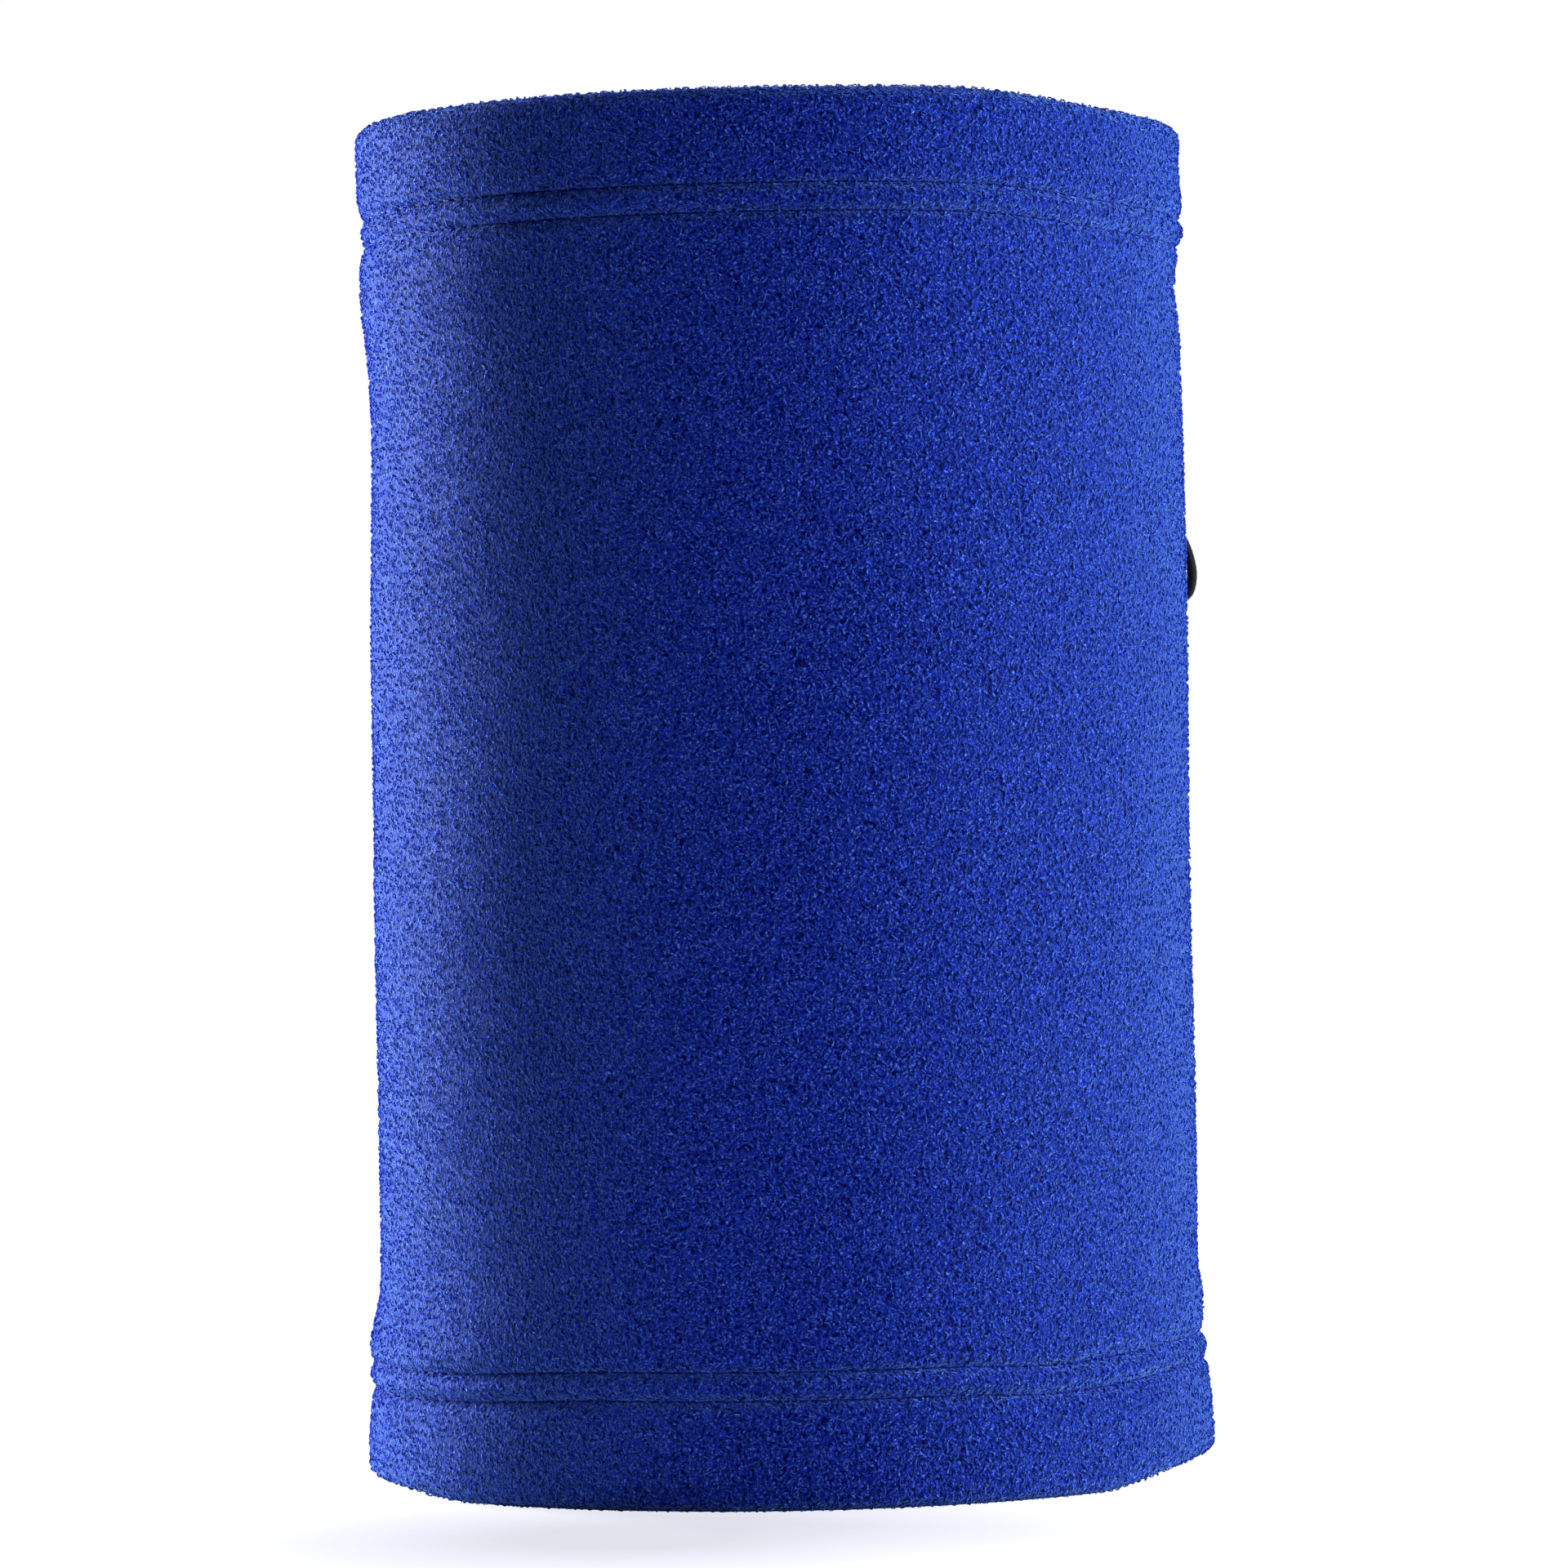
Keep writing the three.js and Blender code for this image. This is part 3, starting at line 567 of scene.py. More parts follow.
# ---- eyelets ---------------------------------------------------------------------------
# Two brass eyelets with a black oxide finish. Each is pushed through the hem's outer
# wall from outside and rolled over a washer inside the channel.
EYELET_RADIUS = 80.5
EYELET_SEAT = -0.6
EYELET_CROWN = 0.4
EYELET_BORE = 2.6
EYELET_TUBE = 3.0
EYELET_ROLLED = -3.0
FLANGE = 5.0
WASHER_TOP = -2.2
WASHER = 0.5

WORN_OXIDE, tree, shader = finish_material("eyelet_black_oxide", 0.36, Metallic=1.0)
surface = add_node(tree, "ShaderNodeGroup", node_tree=GRAIN)
edge = add_node(tree, "ShaderNodeAttribute", attribute_name="wear").outputs["Fac"]
rubbed = maths(tree, "MULTIPLY", edge, maths(tree, "ADD", surface.outputs["Scuffs"], 0.25),
               clamp=True)
tree.links.new(mix_colour(tree, rubbed, (0.012, 0.012, 0.013, 1), (0.30, 0.22, 0.11, 1)),
               shader.inputs["Base Color"])
tree.links.new(maths(tree, "MULTIPLY_ADD", surface.outputs["Scuffs"], 0.2, 0.3),
               shader.inputs["Roughness"])
bump(tree, shader, surface.outputs["Height"], 0.00002)

DOME_FOOT = EYELET_SEAT + 0.35
dome = [(FLANGE - (FLANGE - EYELET_TUBE + 0.2) * t,
         DOME_FOOT + (EYELET_CROWN - DOME_FOOT) * math.sin(math.pi * (0.08 + 0.62 * t)))
        for t in np.linspace(0, 1, 12)]
eyelet_profile = [
    (EYELET_TUBE, EYELET_ROLLED + 0.35), (EYELET_TUBE, EYELET_SEAT), (FLANGE - 0.25, EYELET_SEAT),
    (FLANGE, EYELET_SEAT + 0.12), *dome, (EYELET_BORE + 0.1, EYELET_SEAT + 0.5),
    (EYELET_BORE, EYELET_SEAT + 0.1), (EYELET_BORE, EYELET_ROLLED),
    *arc(EYELET_TUBE + 0.4, EYELET_ROLLED, 0.75, 190, 350, 8), (3.85, EYELET_ROLLED + 0.05),
    *arc(EYELET_TUBE + 0.4, EYELET_ROLLED, 0.35, 350, 210, 6)]
washer_profile = [
    (EYELET_TUBE + 0.3, WASHER_TOP - WASHER),
    *arc(FLANGE - 0.15, WASHER_TOP - WASHER + 0.15, 0.15, -90, 0, 3),
    *arc(FLANGE - 0.15, WASHER_TOP - 0.15, 0.15, 0, 90, 3), (EYELET_TUBE + 0.3, WASHER_TOP)]
for place, angle in zip(("side", "seam"), eyelet_angles):
    frame_here = (Matrix.Translation(round_the_wall(angle, EYELET_RADIUS, EYELET_HEIGHT))
                  @ Matrix.Rotation(angle, 4, "Z") @ Matrix.Rotation(math.radians(90), 4, "Y"))
    for name, profile in ((f"eyelet_{place}", eyelet_profile),
                          (f"eyelet_washer_{place}", washer_profile)):
        ring = turned(f"{name}_brass", profile, 64, frame_here,
                      wear=lambda r, z: max(0.0, min(1.0, (z + 0.3) * 2.0)))
        ring.data.materials.append(WORN_OXIDE)
        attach(ring, "gaiter")
        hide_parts(name)

# ---- the wall's line -------------------------------------------------------------------
# One panel of polyester fleece, 2.8 mm thick, closed into a tube at the back. Both ends
# are turned in and sewn with two rows. The hems were sewn a little out of level, and
# the wall sags and swells slightly, most of all at the sides.
BODY = 79.6
HEIGHT = 264.0
FLEECE = 2.8
LAYER_GAP = 0.4
BOTTOM_ROWS = (20.4, 25.7)
TOP_ROWS = (240.7, 246.0)
HEM_TAPER = 16.0
TOP_FLARE = 0.9                      # how far the hems stand out from the body
BOTTOM_FLARE = 2.9
CHANNEL_FLOOR = 74.3
RAW_TOP, RAW_BOTTOM = 237.0, 30.0
STITCHES = 140
SEAM = math.radians(90)


def ease(low, high, x):
    t = np.clip((np.asarray(x, float) - low) / (high - low), 0, 1)
    return t * t * (3 - 2 * t)


def wall_radius(z):
    above = TOP_FLARE * ease(TOP_ROWS[0] - HEM_TAPER, TOP_ROWS[1], z)
    below = 1 - ease(BOTTOM_ROWS[0] - HEM_TAPER, BOTTOM_ROWS[1] + HEM_TAPER, z)
    return BODY + above + BOTTOM_FLARE * below


def hump(x, middle, width):
    """A smooth hump, 1 high, at the middle."""
    return np.exp(-((x - middle) / width) ** 2)


def drape(radius, angle, z):
    """Where a point of the ideal tube lies on the sewn one, in millimetres."""
    right, back = np.cos(angle), np.sin(angle)
    front = 1 - ease(-0.1, 0.45, back)
    left_side, right_side = ease(0.5, 1.0, -right) * front, ease(0.5, 1.0, right) * front
    left_swell = (1.0 * hump(z, 229, 9) - 1.1 * hump(z, 206, 34) - 0.8 * hump(z, 243, 5)
                  - 0.7 * hump(z, 140, 28) + 1.7 * hump(z, 29, 6))
    right_swell = (0.6 * hump(z, 155, 45) - 1.3 * hump(z, 234, 6) - 0.6 * hump(z, 257, 6)
                   + 0.7 * hump(z, 33, 4))
    waves = (0.22 * np.sin(3 * angle + z / 31) * (1 - ease(150, 215, z) * 0.5)
             + 0.15 * np.sin(7 * angle - z / 17))
    swell = left_side * left_swell + right_side * right_swell + front * waves
    top_drop = -2.7 * ease(0.45, 0.95, right) * front
    edge_rise = ((1.6 * ease(0.75, 0.98, -right) + 3.3 * ease(0.70, 0.98, right))
                 * (1 - ease(-0.1, 0.7, back)))
    row_wander = (0.9 * ease(0.75, 0.95, right) - 1.9 * ease(0.40, 0.95, -right)
                  - 0.9 * hump(right, 0.62, 0.16)) * front
    z = (z + top_drop * ease(190, 236, z) + edge_rise * (1 - ease(0, 14, z))
         + row_wander * ease(4, 19, z) * (1 - ease(27, 62, z)))
    radius = radius + swell
    return radius * np.cos(angle), radius * np.sin(angle), z


def pinch(z, rows, depth):
    """How far the rows of stitches pull a face in: a soft dip with a sharp crease in it."""
    return sum(depth * (0.7 * hump(z, row, 1.4) + 0.6 * np.exp(-abs(z - row) / 0.3))
               for row in rows)


def holes_and_bridges(angle):
    """Deepest where the needle went through, and shallower under each stitch."""
    return 0.9 + 0.16 * np.cos(STITCHES * angle)


# ---- fleece tube -----------------------------------------------------------------------
# The panel's section runs up the outer face, over the top fold, down the turned-in layer
# to its raw edge, back up round the drawcord's channel, down the wall's inner face and
# round the bottom hem. It is swept round the tube, three columns to each stitch.
COLUMNS = 3 * STITCHES
BULGE = 0.3                          # how far the fleece stands out between two rows
TOP_CREST = 3.6                      # height of the rounded folds
BOTTOM_CREST = 2.6
SEAM_RIDGE = (3.5, 2.4)              # half width and height inside
SEAM_VALLEY = 0.8
OUTER_PINCH = 1.05                   # how deep the rows of stitches pull each face in
TURNED_PINCH = 0.45
EYELET_SQUEEZE = 0.9                 # how far an eyelet presses each side of the wall in
OUTER, INNER, TURNED, HIDDEN = range(4)


def inner_radius(z):
    return wall_radius(z) - FLEECE


def turned_face(z):
    """The turned-in layer's face inside the tube; it steps in over the drawcord."""
    step = ease(TOP_ROWS[1] + 1.3, TOP_ROWS[1] + 5, z)
    return (inner_radius(z) - LAYER_GAP) * (1 - step) + CHANNEL_FLOOR * step - FLEECE


def crest(outside, inside, z, height, steps, upward):
    """A rounded fold between two faces, from the first to the second."""
    middle, half = (outside + inside) / 2, (outside - inside) / 2
    points = []
    for t in np.linspace(0, math.pi, steps):
        across = math.copysign(abs(math.cos(t)) ** 0.85, math.cos(t))
        points.append((middle + half * across, z + upward * height * math.sin(t) ** 0.8))
    return points


offsets = (-1.7, -1.0, -0.55, -0.25, 0, 0.25, 0.55, 1.0, 1.7)
at_rows = {rows: sorted([row + d for row in rows for d in offsets] + [sum(rows) / 2])
           for rows in (BOTTOM_ROWS, TOP_ROWS)}
hole_zone = list(np.linspace(248.9, 259.1, 11))
outer_z = sorted([4.5, 7, 9.5, 12, 14.5, 17, *at_rows[BOTTOM_ROWS], *np.linspace(29, 236.5, 48),
                  *at_rows[TOP_ROWS], *hole_zone])
section = []                         # radius, height, face, pinch
for r, z in crest(wall_radius(0), turned_face(0), BOTTOM_CREST, BOTTOM_CREST, 11, -1)[::-1]:
    section.append((r, z, OUTER, 0.0))
first_hole_row = len(section) + outer_z.index(hole_zone[0])
for z in outer_z:
    rows = BOTTOM_ROWS if z < 100 else TOP_ROWS
    between = BULGE * math.exp(-((z - sum(rows) / 2) / 1.3) ** 2)
    section.append((wall_radius(z) + between, z, OUTER, pinch(z, rows, OUTER_PINCH)))
for r, z in crest(wall_radius(HEIGHT), turned_face(HEIGHT), HEIGHT - TOP_CREST, TOP_CREST, 15, 1):
    section.append((r, z, OUTER, 0.0))
outer_rows = range(len(section) - 1)
for z in (257, 254, 251.5, 250, 248.6, *at_rows[TOP_ROWS][::-2], 238.2):
    section.append((turned_face(z), z, TURNED, -pinch(z, TOP_ROWS, TURNED_PINCH)))
turned_back = inner_radius(RAW_TOP) - LAYER_GAP
for r, z in crest(turned_face(RAW_TOP), turned_back, RAW_TOP + 0.5, 0.7, 5, -1):
    section.append((r, z, HIDDEN, 0.0))
for z in (240.7, 245.5, 247.6):
    section.append((inner_radius(z) - LAYER_GAP, z, HIDDEN, 0.0))
for z in (251.0, 255.5):
    section.append((CHANNEL_FLOOR, z, HIDDEN, 0.0))
for r, z in crest(CHANNEL_FLOOR, inner_radius(HEIGHT), 259.8, 1.4, 7, 1):
    section.append((r, z, HIDDEN, 0.0))
first_inner_row = len(section)
for z in hole_zone[::-1]:
    section.append((inner_radius(z), z, INNER, 0.0))
for z in (245.6, 240.7, 238.0, *np.linspace(234, 33, 28)):
    section.append((inner_radius(z), z, INNER, 0.0))
for z in (30, 25, 20, 12, 5, 3.2):
    section.append((inner_radius(z), z, HIDDEN, 0.0))
for z in (3.2, 5, 12, 20, 25, 29):
    section.append((inner_radius(z) - LAYER_GAP, z, HIDDEN, 0.0))
turned_back = inner_radius(RAW_BOTTOM) - LAYER_GAP
for r, z in crest(turned_back, turned_face(RAW_BOTTOM), RAW_BOTTOM - 0.5, 0.7, 5, 1):
    section.append((r, z, HIDDEN, 0.0))
for z in (28.8, *at_rows[BOTTOM_ROWS][::-2], 15, 10, 5.5):
    section.append((turned_face(z), z, TURNED, -pinch(z, BOTTOM_ROWS, TURNED_PINCH)))

radii, heights, faces_of, pinches = (np.array(column, float)[:, None] for column in zip(*section))
angles = (math.tau * np.arange(COLUMNS) / COLUMNS)[None]
radius = radii - pinches * holes_and_bridges(angles)
height = heights + 0 * angles
from_seam = (angles - SEAM) * BODY
sewn_length = (ease(RAW_BOTTOM - 1, RAW_BOTTOM + 2, heights)
               * (1 - ease(RAW_TOP - 2, RAW_TOP + 1, heights)))
ridge = 1 - ease(SEAM_RIDGE[0] - 1.3, SEAM_RIDGE[0] + 0.6, np.abs(from_seam))
radius = radius - np.where(faces_of == INNER, SEAM_RIDGE[1] * ridge * sewn_length, 0)
radius = radius - np.where(faces_of == TURNED, 0.8 * ridge, 0)
radius = radius - np.where(faces_of == OUTER, SEAM_VALLEY * np.exp(-np.abs(from_seam) / 0.7), 0)
for angle in eyelet_angles:
    away = np.hypot((angles - angle) * EYELET_RADIUS, heights - EYELET_HEIGHT)
    squeezed = EYELET_SQUEEZE * (1 - ease(FLANGE + 0.1, FLANGE + 2.4, away))
    radius = radius - np.where(faces_of == OUTER, squeezed, 0)
    radius = radius + np.where((faces_of == INNER) & (heights > 248), squeezed, 0)

# Each eyelet's hole goes through the outer wall only.
HOLE = 3.3
gone = np.zeros((len(section), COLUMNS), bool)
hole_walls = []
for angle in eyelet_angles:
    for k in range(len(hole_zone) - 1):
        for i in range(COLUMNS):
            sideways = ((i + 0.5) * math.tau / COLUMNS - angle) * EYELET_RADIUS
            upwards = (hole_zone[k] + hole_zone[k + 1]) / 2 - EYELET_HEIGHT
            if math.hypot(sideways, upwards) < HOLE - 0.15:
                gone[first_hole_row + k, i] = True


def inner_twin(row):
    """The row of the wall's inner face that lies behind a row of its outer face."""
    return first_inner_row + len(hole_zone) - 1 - (row - first_hole_row)


rim_points = set()
for row, i in zip(*np.nonzero(gone)):
    gone[inner_twin(row + 1), i] = True
    for (r0, i0), (r1, i1), beyond in (
            ((row, i), (row, i + 1), (row - 1, i)),
            ((row + 1, i + 1), (row + 1, i), (row + 1, i)),
            ((row + 1, i), (row, i), (row, i - 1)),
            ((row, i + 1), (row + 1, i + 1), (row, i + 1))):
        if not gone[beyond[0], beyond[1] % COLUMNS]:
            hole_walls.append((r0, i0 % COLUMNS, r1, i1 % COLUMNS))
            rim_points |= {(r0, i0 % COLUMNS), (r1, i1 % COLUMNS)}
angle_at = np.repeat(angles, len(section), axis=0)
for row, i in rim_points:
    angle = min(eyelet_angles, key=lambda a: abs(a - angle_at[row, i]))
    sideways = (angle_at[row, i] - angle) * EYELET_RADIUS
    upwards = height[row, i] - EYELET_HEIGHT
    grow = HOLE / math.hypot(sideways, upwards)
    for r in (row, inner_twin(row)):
        angle_at[r, i] = angle + sideways * grow / EYELET_RADIUS
        height[r, i] = EYELET_HEIGHT + upwards * grow

points = np.stack(drape(radius, angle_at, height), axis=-1)
total = len(section)


def point_at(row, i):
    return row % total * COLUMNS + i % COLUMNS


quads = [(point_at(r, i), point_at(r, i + 1), point_at(r + 1, i + 1), point_at(r + 1, i))
         for r in range(total) for i in range(COLUMNS) if not gone[r, i]]
quads += [(point_at(a, i), point_at(b, j), point_at(inner_twin(b), j), point_at(inner_twin(a), i))
          for a, i, b, j in hole_walls]


def fleece_mesh(name, quads):
    """A mesh of some of the tube's quads, with the points that no quad uses left out."""
    used, index = np.unique(np.array(quads).ravel(), return_inverse=True)
    mesh = bpy.data.meshes.new(name)
    mesh.from_pydata((points.reshape(-1, 3)[used] * MM).tolist(), [],
                     index.reshape(-1, 4).tolist())
    mesh.shade_smooth()
    return place_object(name, mesh)


def face_outwards(mesh):
    shell = bmesh.new()
    shell.from_mesh(mesh)
    bmesh.ops.recalc_face_normals(shell, faces=shell.faces)
    shell.to_mesh(mesh)
    shell.free()


fleece_tube = fleece_mesh("fleece_tube", quads)
face_outwards(fleece_tube.data)

# Curled nap in small clumps: a height for the bump, a painted shade from dark pits to light tips,
# and a mask of painted glints.
NAP, given, gives = node_group("fleece_nap", {"Clump Size": 0.00062, "Fibre Size": 0.00018},
                               {"Height": 0.0, "Shade": 0.0, "Glint": 0.0})
place = add_node(NAP, "ShaderNodeTexCoord").outputs["Object"]
drift = add_node(NAP, "ShaderNodeTexNoise", {"Vector": place, "Scale": 700.0, "Detail": 1.0})
pull = add_node(NAP, "ShaderNodeVectorMath", {0: drift.outputs["Color"], 1: (0.5, 0.5, 0.5)},
                operation="SUBTRACT")
curled = add_node(NAP, "ShaderNodeVectorMath", {0: pull.outputs[0], 1: (0.0012, 0.0012, 0.0012),
                                                2: place}, operation="MULTIPLY_ADD").outputs[0]
clumps_per_metre = maths(NAP, "DIVIDE", 1.0, given.outputs["Clump Size"])
clumps = add_node(NAP, "ShaderNodeTexVoronoi", {"Vector": curled, "Scale": clumps_per_metre,
                                                "Smoothness": 0.6}, feature="SMOOTH_F1").outputs[0]
curls = add_node(NAP, "ShaderNodeTexNoise", {"Vector": curled, "Scale": clumps_per_metre,
                                             "Detail": 2.0, "Distortion": 1.2}).outputs[0]
fibres = add_node(NAP, "ShaderNodeTexNoise",
                  {"Vector": curled, "Detail": 2.0,
                   "Scale": maths(NAP, "DIVIDE", 1.0, given.outputs["Fibre Size"])}).outputs[0]
relief = maths(NAP, "ADD", maths(NAP, "MULTIPLY_ADD", clumps, -0.9, 0.9),
               maths(NAP, "MULTIPLY_ADD", curls, 0.9, maths(NAP, "MULTIPLY", fibres, 0.35)))
NAP.links.new(relief, gives.inputs["Height"])
# Painted shade: the low places of the relief are darkened, the high ones lightened.
NAP.links.new(maths(NAP, "MULTIPLY_ADD", relief, 1.9, -1.5, clamp=True), gives.inputs["Shade"])
# Painted glints: small light specks that stand in for fibres catching the light.
painted_glint_specks = add_node(NAP, "ShaderNodeTexNoise",
                  {"Vector": curled, "Scale": 2600.0, "Detail": 1.0}).outputs[0]
NAP.links.new(maths(NAP, "MULTIPLY_ADD", painted_glint_specks, 9.0, -4.9, clamp=True), gives.inputs["Glint"])


def fleece_material(name, pit, tip, glint, sheen, depth, wisp_length=None):
    """Dyed blue fibre with painted shade, dark in the pits and light on the tips, and painted
    glints; a wisp also has painted shade where it goes into the cloth.
    """
    material, tree, shader = finish_material(
        name, 0.62, Sheen_Weight=sheen, Sheen_Roughness=0.17, Sheen_Tint=(0.24, 0.54, 1.0, 1),
        Specular_IOR_Level=0.01)
    nap = add_node(tree, "ShaderNodeGroup", node_tree=NAP)
    shade = nap.outputs["Shade"]
    # Painted shade along each wisp: dark at both ends where it goes into the cloth, light in the
    # middle of its arch.
    if wisp_length:
        uv = add_node(tree, "ShaderNodeUVMap", uv_map="UVMap")
        along = add_node(tree, "ShaderNodeSeparateXYZ", {0: uv.outputs[0]}).outputs["Y"]
        root_shade = maths(tree, "SINE", maths(tree, "MULTIPLY", along, math.pi / wisp_length))
        shade = maths(tree, "MULTIPLY", maths(tree, "MULTIPLY_ADD", shade, 0.6, 0.4), root_shade,
                      clamp=True)
    # The blue, with painted shade from the pit colour to the tip colour.
    coloured = mix_colour(tree, shade, pit, tip)
    # Painted glints: light blue specks mixed in on the light tips.
    painted_glints = maths(tree, "MULTIPLY", nap.outputs["Glint"], shade)
    tree.links.new(mix_colour(tree, painted_glints, coloured, glint), shader.inputs["Base Color"])
    bump(tree, shader, nap.outputs["Height"], depth)
    return material


# Pit colour and tip colour: the blue dye with painted shade between them; the third colour is the
# painted glint.
FLEECE_BLUE = fleece_material("fleece_royal_blue", (0.001, 0.003, 0.11, 1),
                              (0.013, 0.040, 0.60, 1), (0.11, 0.24, 1.0, 1), 0.9, 0.001)
fleece_tube.data.materials.append(FLEECE_BLUE)

# ---- fleece pile -----------------------------------------------------------------------
# The brushed nap itself: short curled wisps of fibre over both faces of the fleece,
# thick enough to half hide the rows of stitches. They are scattered in strips round the
# tube, and lie on it as a part of the cloth.
CURL_SHAPES = 5
WISP_RADIUS = 0.17
WISP_LENGTH = 2.0
PILE_STRIPS = (("fleece_pile", 6, 1.36, 0), ("fleece_pile_inside", 2, 2.2, 20))
random.seed(7)


def curl_shape(number):
    """A wisp that rises out of the cloth, bends over and tucks back in."""
    bend, twist = random.uniform(-0.35, 0.35), random.uniform(-0.3, 0.3)
    top = random.uniform(0.26, 0.42)
    line = smooth_line([(-0.5, 0.0, -0.18), (-0.3, 0.3 * bend, top * 0.8), (0.1, bend, top),
                        (0.5, 0.5 * bend + twist, top * 0.55), (0.72, twist, -0.12)], step=0.6)
    return tube(f"curl_shape_{number}", line, WISP_RADIUS, 3)


def tree_inputs(tree, **values):
    for label, kind in values.items():
        tree.interface.new_socket(label.replace("_", " "), in_out="INPUT",
                                  socket_type="NodeSocket" + kind)
    tree.interface.new_socket("Geometry", in_out="OUTPUT", socket_type="NodeSocketGeometry")
    return tree.nodes.new("NodeGroupInput").outputs, tree.nodes.new("NodeGroupOutput").inputs


def run_tree(piece, tree, **values):
    """Runs a geometry tree on a piece with these inputs, and keeps the plain mesh."""
    made = piece.modifiers.new(tree.name, "NODES")
    made.node_group = tree
    for socket in tree.interface.items_tree:
        key = socket.name.replace(" ", "_")
        if socket.in_out == "INPUT" and key in values:
            made[socket.identifier] = values[key]
    return settle(piece)


PILE = bpy.data.node_groups.new("scattered_curls", "GeometryNodeTree")
given, gives = tree_inputs(PILE, Geometry="Geometry", Spacing="Float", Seed="Int",
                           Fibre="Material",
                           **{f"Curl_{n}": "Object" for n in range(CURL_SHAPES)})
scatter = add_node(PILE, "GeometryNodeDistributePointsOnFaces",
                   {"Mesh": given["Geometry"], "Distance Min": given["Spacing"],
                    "Density Max": 2e6, "Seed": given["Seed"]}, distribute_method="POISSON")
curls = add_node(PILE, "GeometryNodeJoinGeometry")
for n in reversed(range(CURL_SHAPES)):
    shape = add_node(PILE, "GeometryNodeObjectInfo",
                     {"Object": given[f"Curl {n}"], "As Instance": True})
    PILE.links.new(shape.outputs["Geometry"], curls.inputs[0])
turn = add_node(PILE, "FunctionNodeRandomValue",
                {"Min": (-0.25, -0.25, 0.0), "Max": (0.25, 0.25, math.tau),
                 "Seed": given["Seed"]}, data_type="FLOAT_VECTOR")
spun = add_node(PILE, "FunctionNodeRotateRotation",
                {"Rotation": scatter.outputs["Rotation"],
                 "Rotate By": add_node(PILE, "FunctionNodeEulerToRotation",
                                       {0: turn.outputs[0]}).outputs[0]}, rotation_space="LOCAL")
size = add_node(PILE, "FunctionNodeRandomValue",
                {"Min": (0.7, 0.7, 0.6), "Max": (1.25, 1.3, 1.3),
                 "Seed": given["Seed"]}, data_type="FLOAT_VECTOR")
placed = add_node(PILE, "GeometryNodeInstanceOnPoints",
                  {"Points": scatter.outputs["Points"], "Instance": curls.outputs[0],
                   "Pick Instance": True, "Rotation": spun.outputs[0], "Scale": size.outputs[0]})
real = add_node(PILE, "GeometryNodeRealizeInstances", {"Geometry": placed.outputs[0]})
coloured = add_node(PILE, "GeometryNodeSetMaterial", {"Geometry": real.outputs[0],
                                                  "Material": given["Fibre"]})
PILE.links.new(coloured.outputs[0], gives["Geometry"])

# Pit colour and tip colour: the blue dye with painted shade between them; the third colour is the
# painted glint.
PILE_BLUE = fleece_material("fleece_pile_blue", (0.0015, 0.005, 0.14, 1), (0.018, 0.056, 0.74, 1),
                            (0.13, 0.30, 1.0, 1), 0.9, 0.0003, wisp_length=WISP_LENGTH)
curl_shapes = {f"Curl_{n}": curl_shape(n) for n in range(CURL_SHAPES)}
inner_rows = [r for r in range(total - 1) if section[r][2] == INNER and section[r][1] < 236
              or section[r][2] == TURNED]
eyelet_clear = FLANGE + 0.9


def bare_of_pile(row, i):
    """The cloth right round an eyelet is squeezed flat."""
    return gone[row, i] or any(math.hypot((angles[0, i] - a) * EYELET_RADIUS,
                                          section[row][1] - EYELET_HEIGHT) < eyelet_clear
                               for a in eyelet_angles) and row in outer_rows


def pile_strip(name, rows, first, last, spacing, seed):
    strip = fleece_mesh(name, [
        (point_at(r, i + 1), point_at(r + 1, i + 1), point_at(r + 1, i), point_at(r, i))
        for r in rows for i in range(first, last) if not bare_of_pile(r, i)])
    run_tree(strip, PILE, Spacing=spacing * MM, Seed=seed, Fibre=PILE_BLUE, **curl_shapes)
    for vert in strip.data.vertices:
        vert.co.z = max(vert.co.z, 0)        # the table presses the nap under the fold flat
    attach(strip, "gaiter")
    return strip


for rows, (name, strips, spacing, first_seed) in zip((outer_rows, inner_rows), PILE_STRIPS):
    for n in range(strips):
        pile_strip(f"{name}_{n + 1}", rows, COLUMNS * n // strips,
                               COLUMNS * (n + 1) // strips, spacing, first_seed + n)
for shape in curl_shapes.values():
    bpy.data.objects.remove(shape)
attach(fleece_tube, "gaiter")
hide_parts("fleece_body")

# ---- hem stitches ----------------------------------------------------------------------
# Both hems are coverstitched in textured polyester: two rows of needle thread outside,
# and inside a looper thread that crosses from row to row through the needle loops.
STITCH = math.tau * BODY / STITCHES
NEEDLE_THREAD = 0.34
LOOP_THREAD = 0.28
LOOPER_THREAD = 0.30
SATIN_THREAD = 0.32
ROW_DEPTH = 1.12                     # how far the needle thread lies under the face

THREAD_BLUE = yarn_material("sewing_thread_blue", (0.001, 0.004, 0.09, 1), (0.005, 0.015, 0.26, 1),
                            3, 0.8, 0.7, 0.06, (0.2, 0.4, 1.0, 1))

STITCHING = bpy.data.node_groups.new("stitches_along_a_path", "GeometryNodeTree")
given, gives = tree_inputs(STITCHING, Geometry="Geometry", Stitch="Object", Stitches="Int",
                           Facing="Float", Unevenness="Float", Seed="Int", Thread="Material")
path = add_node(STITCHING, "GeometryNodeMeshToCurve", {0: given["Geometry"]})
evenly = add_node(STITCHING, "GeometryNodeResampleCurve", {"Curve": path.outputs[0],
                                                           "Count": given["Stitches"]})
along = add_node(STITCHING, "GeometryNodeInputTangent").outputs[0]
where = add_node(STITCHING, "GeometryNodeInputPosition").outputs[0]
level = add_node(STITCHING, "ShaderNodeVectorMath", {0: where, 1: (1, 1, 0)}, operation="MULTIPLY")
outward = add_node(STITCHING, "ShaderNodeVectorMath",
                   {0: level.outputs[0], "Scale": given["Facing"]}, operation="SCALE")
